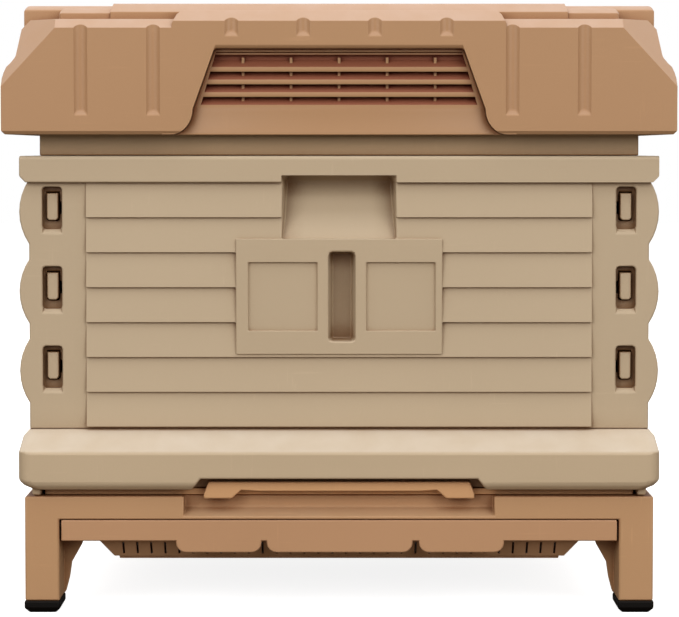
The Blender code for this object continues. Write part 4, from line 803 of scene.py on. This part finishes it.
def vent_plate():
    """The plate with its window, cut from a drawn outline and rounded along both."""
    drawn = bpy.data.curves.new("vent plate", 'CURVE')
    drawn.dimensions = '2D'
    drawn.fill_mode = 'BOTH'
    drawn.extrude = PLATE_THICKNESS / 2 - PLATE_ROUNDING
    drawn.bevel_depth = PLATE_ROUNDING
    drawn.bevel_resolution = 1
    drawn.offset = -PLATE_ROUNDING
    side = [(ARCH_TOP_HALF, vent_top)]
    for step in range(ARCH_STEPS + 1):
        angle = math.radians(90) * step / ARCH_STEPS
        side.append((ARCH_SIDE_HALF + (ARCH_FOOT_HALF - ARCH_SIDE_HALF) * (1 - math.cos(angle)),
                     vent_foot + ARCH_FOOT_RISE * (1 - math.sin(angle))))
    window = [(vent_half(window_low), window_low), (vent_half(window_high), window_high)]
    for half in (side, window):
        points = half + [(-x, z) for x, z in reversed(half)]
        spline = drawn.splines.new('POLY')
        spline.points.add(len(points) - 1)
        for point, (x, z) in zip(spline.points, points):
            point.co = (x, z, 0, 1)
        spline.use_cyclic_u = True
    holder = add_object("vent plate drawing", drawn)
    mesh = bpy.data.meshes.new_from_object(holder.evaluated_get(bpy.context.evaluated_depsgraph_get()))
    bpy.data.objects.remove(holder)
    for corner in mesh.vertices:
        across, up, through = corner.co
        corner.co = (across, vent_front + PLATE_THICKNESS / 2 - through, max(up, vent_foot))
    return mesh


def slat_and_rib_rack():
    """Slats on a rising line, each narrower than the one below, with upright ribs behind them."""
    tree = bpy.data.node_groups.new("vent slats", 'GeometryNodeTree')
    tree.interface.new_socket("Geometry", in_out='OUTPUT', socket_type='NodeSocketGeometry')
    for name, kind in (("Slat", 'NodeSocketObject'), ("Rib", 'NodeSocketObject'),
                       ("Slats", 'NodeSocketInt'), ("Slat Pitch", 'NodeSocketFloat'),
                       ("Lowest Slat", 'NodeSocketFloat'), ("Lowest Half Width", 'NodeSocketFloat'),
                       ("Narrowing", 'NodeSocketFloat'), ("Ribs", 'NodeSocketInt'),
                       ("Rib Pitch", 'NodeSocketFloat'), ("Plastic", 'NodeSocketMaterial')):
        tree.interface.new_socket(name, in_out='INPUT', socket_type=kind)
    wire = Wiring(tree)
    nodes, links, maths = wire.nodes, wire.links, wire.maths
    given = nodes.new('NodeGroupInput')
    made = nodes.new('NodeGroupOutput')

    def vector(x, y, z):
        node = nodes.new('ShaderNodeCombineXYZ')
        for socket, value in zip(node.inputs, (x, y, z)):
            wire.feed(socket, value)
        return node.outputs[0]

    def row(count, start, step, pattern, scale=None):
        line = nodes.new('GeometryNodeMeshLine')
        links.new(count, line.inputs['Count'])
        links.new(start, line.inputs['Start Location'])
        links.new(step, line.inputs['Offset'])
        source = nodes.new('GeometryNodeObjectInfo')
        links.new(pattern, source.inputs['Object'])
        copies = nodes.new('GeometryNodeInstanceOnPoints')
        links.new(line.outputs['Mesh'], copies.inputs['Points'])
        links.new(source.outputs['Geometry'], copies.inputs['Instance'])
        if scale:
            links.new(scale, copies.inputs['Scale'])
        return copies.outputs['Instances']

    index = nodes.new('GeometryNodeInputIndex').outputs[0]
    width = maths('SUBTRACT', given.outputs['Lowest Half Width'],
                  maths('MULTIPLY', index, given.outputs['Narrowing']))
    slats = row(given.outputs['Slats'], vector(0.0, 0.0, given.outputs['Lowest Slat']),
                vector(0.0, 0.0, given.outputs['Slat Pitch']), given.outputs['Slat'],
                vector(width, 1.0, 1.0))
    half_count = maths('MULTIPLY', maths('SUBTRACT', given.outputs['Ribs'], 1.0), -0.5)
    first_rib = maths('MULTIPLY', half_count, given.outputs['Rib Pitch'])
    ribs = row(given.outputs['Ribs'], vector(first_rib, 0.0, 0.0),
               vector(given.outputs['Rib Pitch'], 0.0, 0.0), given.outputs['Rib'])
    together = nodes.new('GeometryNodeJoinGeometry')
    links.new(slats, together.inputs[0])
    links.new(ribs, together.inputs[0])
    real = nodes.new('GeometryNodeRealizeInstances')
    links.new(together.outputs[0], real.inputs[0])
    coloured = nodes.new('GeometryNodeSetMaterial')
    links.new(real.outputs[0], coloured.inputs['Geometry'])
    links.new(given.outputs['Plastic'], coloured.inputs['Material'])
    links.new(coloured.outputs[0], made.inputs[0])
    return tree


def swept(name, section, ends):
    """A bar with this closed section, given as (y, z), between two values of x."""
    mould = bmesh.new()
    rows = [[mould.verts.new((x, y, z)) for y, z in section] for x in ends]
    for k in range(len(section)):
        after = (k + 1) % len(section)
        mould.faces.new((rows[0][k], rows[0][after], rows[1][after], rows[1][k]))
    mould.faces.new(rows[0])
    mould.faces.new(rows[1])
    bmesh.ops.recalc_face_normals(mould, faces=mould.faces)
    mesh = bpy.data.meshes.new(name)
    mould.to_mesh(mesh)
    mould.free()
    mesh.shade_smooth()
    mesh.set_sharp_from_angle(angle=SHARP_BAR)
    return add_object(name, mesh)


nose_centre = SLAT_HEIGHT / 2
nose = []
for step in range(NOSE_STEPS + 1):
    angle = math.radians(90 + 180 * step / NOSE_STEPS)
    nose.append((vent_front + SLAT_SETBACK + SLAT_HEIGHT * NOSE_SHARE * (1 + math.cos(angle)),
                 nose_centre * math.sin(angle)))
slat_pitch = (window_high - TOP_SLOT - window_low) / SLATS_SEEN
lowest_slat = window_low - nose_centre
slat_back = slat_pitch - nose_centre
slat = swept("slat pattern", nose + [(vent_front + SLAT_DEPTH, slat_back - SLAT_THICKNESS),
                                     (vent_front + SLAT_DEPTH, slat_back)], (-1.0, 1.0))
for corner in slat.data.vertices:
    if corner.co.y > vent_front + SLAT_DEPTH / 2:
        corner.co.x *= SLAT_TAPER

rib_front, rib_back = vent_front + RIB_SETBACK, vent_front + SLAT_DEPTH + BEHIND_SLATS
rib_foot, rib_top = window_low - TOP_FRAME, window_high - RIB_DROP
rib = swept("rib pattern", [(rib_front, rib_foot), (rib_back, rib_foot), (rib_back, rib_top),
                            (rib_front + RIB_CHAMFER, rib_top), (rib_front, rib_top - RIB_CHAMFER)],
            (-RIB_WIDTH / 2, RIB_WIDTH / 2))

rail_top, rail_foot = window_high - RAIL_DROP, window_high - RAIL_DROP - RAIL_HEIGHT
rail_front, rail_back = vent_front + RAIL_SETBACK, vent_front + PLATE_THICKNESS
rail_half = vent_half(window_high) + SIDE_FRAME_AT_TOP / 2
rail = swept("vent rail", [(rail_front, rail_top), (rail_back, rail_top + RAIL_SLOPE),
                           (rail_back, rail_foot), (rail_front + RAIL_CHAMFER, rail_foot),
                           (rail_front, rail_foot + RAIL_CHAMFER)], (-rail_half, rail_half))

# The web is a thin sheet behind the slats, which takes the louvres' painted-shade brown.
web_foot = window_high - TOP_SLOT + slat_pitch - SLAT_HEIGHT - WEB_OVERLAP
web_back = rib_back + BEHIND_SLATS
web = swept("vent web", [(web_back - WEB_THICKNESS, web_foot), (web_back, web_foot),
                         (web_back, rail_top), (web_back - WEB_THICKNESS, rail_top)], (-1.0, 1.0))
for corner in web.data.vertices:
    corner.co.x *= vent_half(corner.co.z) + SIDE_FRAME_AT_TOP / 2

# The vent's tan is darkened with a reddish painted shade in its recesses.
vent_plastic = finish("vent tan plastic", VENT_TAN, roughness=0.36, recess_shade_tint=VENT_SHADE_TINT,
                      Grain_Size=0.0009, Grain_Depth=0.06, Cloudiness=0.05, Scuffs=0.2,
                      Dust=0.12, Recess_Width=0.009)
louvre_painted_shade = finish("vent louvres' painted shade", LOUVRE_PAINTED_SHADE_BROWN, roughness=0.55, recess_shade_tint=LOUVRE_SHADE_TINT,
                        specular=0.1, Grain_Size=0.0009, Grain_Depth=0.06, Cloudiness=0.15,
                        Scuffs=0.1, Dust=0.0, Recess_Width=0.008)

rack = add_object("vent rack", bpy.data.meshes.new("vent rack"))
maker = rack.modifiers.new("slats", 'NODES')
maker.node_group = slat_and_rib_rack()
settings = {"Slat": slat, "Rib": rib, "Slats": SLATS_SEEN + 1, "Slat Pitch": slat_pitch,
            "Lowest Slat": lowest_slat,
            "Lowest Half Width": vent_half(lowest_slat) + SIDE_FRAME_AT_TOP / 2,
            "Narrowing": vent_half(lowest_slat) - vent_half(lowest_slat + slat_pitch),
            "Ribs": RIB_COUNT, "Rib Pitch": RIB_PITCH, "Plastic": vent_plastic}
for item in maker.node_group.interface.items_tree:
    if item.in_out == 'INPUT':
        maker[item.identifier] = settings[item.name]
bpy.context.view_layer.update()
shown = rack.evaluated_get(bpy.context.evaluated_depsgraph_get())
rack_mesh = bpy.data.meshes.new_from_object(shown)
rail_mesh, web_mesh = rail.data, web.data
for spent in (rack, slat, rib, rail, web):
    bpy.data.objects.remove(spent)

mould = bmesh.new()
mould.from_mesh(vent_plate())
bmesh.ops.remove_doubles(mould, verts=mould.verts, dist=WELD_DISTANCE / 2)
mould.from_mesh(rack_mesh)
mould.from_mesh(rail_mesh)
mould.from_mesh(web_mesh)
bmesh.ops.recalc_face_normals(mould, faces=mould.faces)
grille_mesh = bpy.data.meshes.new("roof_grille_plate")
mould.to_mesh(grille_mesh)
mould.free()
# Faces within the window that turn up or down, or lie deep behind the slats, take the painted-shade
# brown.
for face in grille_mesh.polygons:
    depth = face.center.y - vent_front
    within = depth > INSIDE_DEPTH and window_low - INSIDE_MARGIN < face.center.z < window_high
    of_louvre = abs(face.normal.z) > TURNED_UP_OR_DOWN or depth > WEB_DEPTH
    face.material_index = 1 if within and of_louvre else 0
grille_mesh.materials.append(vent_plastic)
grille_mesh.materials.append(louvre_painted_shade)
grille_mesh.shade_smooth()
grille_mesh.set_sharp_from_angle(angle=SHARP_SHADING)
grille = add_object("roof_grille_plate", grille_mesh)
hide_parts("roof_grille")
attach(grille, "roof")


# Studio
# White paper under a broad soft lamp overhead, with one at each front corner and a weaker
# one at each rear corner. The paper looks white, but throws little light up on the hive.

FLOOR_REACH = 12.0
PAPER_BOUNCE, PAPER_SEEN, PAPER_GLOW = (0.18, 0.15, 0.12), (0.70, 0.70, 0.70), 0.86
PAPER_ROUGHNESS = 0.9
ROOM_COLOUR, ROOM_LIGHT = (1.0, 0.93, 0.87), 0.38
LAMPS = (("top lamp", (0.0, -0.4, 2.5), 2.6, 43.0),
         ("front left lamp", (-1.7, -2.8, 1.5), 1.8, 43.0),
         ("front right lamp", (1.7, -2.8, 1.5), 1.8, 43.0),
         ("rear left lamp", (-1.9, 2.8, 1.5), 1.8, 27.0),
         ("rear right lamp", (1.9, 2.8, 1.5), 1.8, 27.0))
LAMP_TARGET = (0, 0, 0.28)
CAMERA_PLACE = (0.0, -2.58, 0.41529)
CAMERA_PITCH = math.radians(90 - 2.612)
CAMERA_LENS, CAMERA_FILM = 138.19, 36.0
CAMERA_SHIFT_X, CAMERA_SHIFT_Y = 0.0006, -0.0590
CAMERA_CLIP_START, CAMERA_CLIP_END = 0.05, 60.0

floor_mesh = bpy.data.meshes.new("studio floor")
corners = [(-1, -1), (1, -1), (1, 1), (-1, 1)]
floor_mesh.from_pydata([(FLOOR_REACH * x, FLOOR_REACH * y, 0) for x, y in corners], [], [(0, 1, 2, 3)])
studio_floor = add_object("studio_floor", floor_mesh)
paper, paper_shader, paper_wire = blank_material("floor paper")
paper_shader.inputs['Roughness'].default_value = PAPER_ROUGHNESS
paper_shader.inputs['Specular IOR Level'].default_value = 0.0
paper_shader.inputs['Emission Color'].default_value = (1, 1, 1, 1)
looked_at = paper_wire.nodes.new('ShaderNodeLightPath').outputs['Is Camera Ray']
sheet = paper_wire.mixed(looked_at, (*PAPER_BOUNCE, 1), (*PAPER_SEEN, 1))
paper_wire.links.new(sheet, paper_shader.inputs['Base Color'])
glow = paper_wire.maths('MULTIPLY', looked_at, PAPER_GLOW)
paper_wire.links.new(glow, paper_shader.inputs['Emission Strength'])
floor_mesh.materials.append(paper)

room = bpy.data.worlds.new("studio room")
bpy.context.scene.world = room
room.use_nodes = True
room_wire = Wiring(room.node_tree)
room_nodes, room_links = room_wire.nodes, room_wire.links
plain = room_nodes["Background"]
plain.inputs['Color'].default_value = (*ROOM_COLOUR, 1)
plain.inputs['Strength'].default_value = ROOM_LIGHT
seen = room_nodes.new('ShaderNodeBackground')
seen.inputs['Color'].default_value = (1, 1, 1, 1)
seen.inputs['Strength'].default_value = 1.0
path = room_nodes.new('ShaderNodeLightPath').outputs
mirrored = room_wire.maths('MAXIMUM', path['Is Glossy Ray'], path['Is Transmission Ray'])
shows_white = room_wire.maths('MAXIMUM', path['Is Camera Ray'], mirrored)
chosen = room_nodes.new('ShaderNodeMixShader')
room_links.new(shows_white, chosen.inputs[0])
room_links.new(plain.outputs[0], chosen.inputs[1])
room_links.new(seen.outputs[0], chosen.inputs[2])
room_links.new(chosen.outputs[0], room_nodes["World Output"].inputs[0])

for name, place, size, power in LAMPS:
    light = bpy.data.lights.new(name, 'AREA')
    light.shape = 'SQUARE'
    light.size = size
    light.energy = power
    lamp = add_object(name, light)
    lamp.location = place
    lamp.rotation_euler = (Vector(place) - Vector(LAMP_TARGET)).to_track_quat('Z', 'Y').to_euler()

eye = bpy.data.cameras.new("camera")
eye.lens = CAMERA_LENS
eye.sensor_width = CAMERA_FILM
eye.shift_x = CAMERA_SHIFT_X
eye.shift_y = CAMERA_SHIFT_Y
eye.clip_start = CAMERA_CLIP_START
eye.clip_end = CAMERA_CLIP_END
camera = add_object("camera", eye)
camera.location = CAMERA_PLACE
camera.rotation_euler = (CAMERA_PITCH, 0, 0)
bpy.context.scene.camera = camera
bpy.context.scene.view_settings.view_transform = 'Standard'
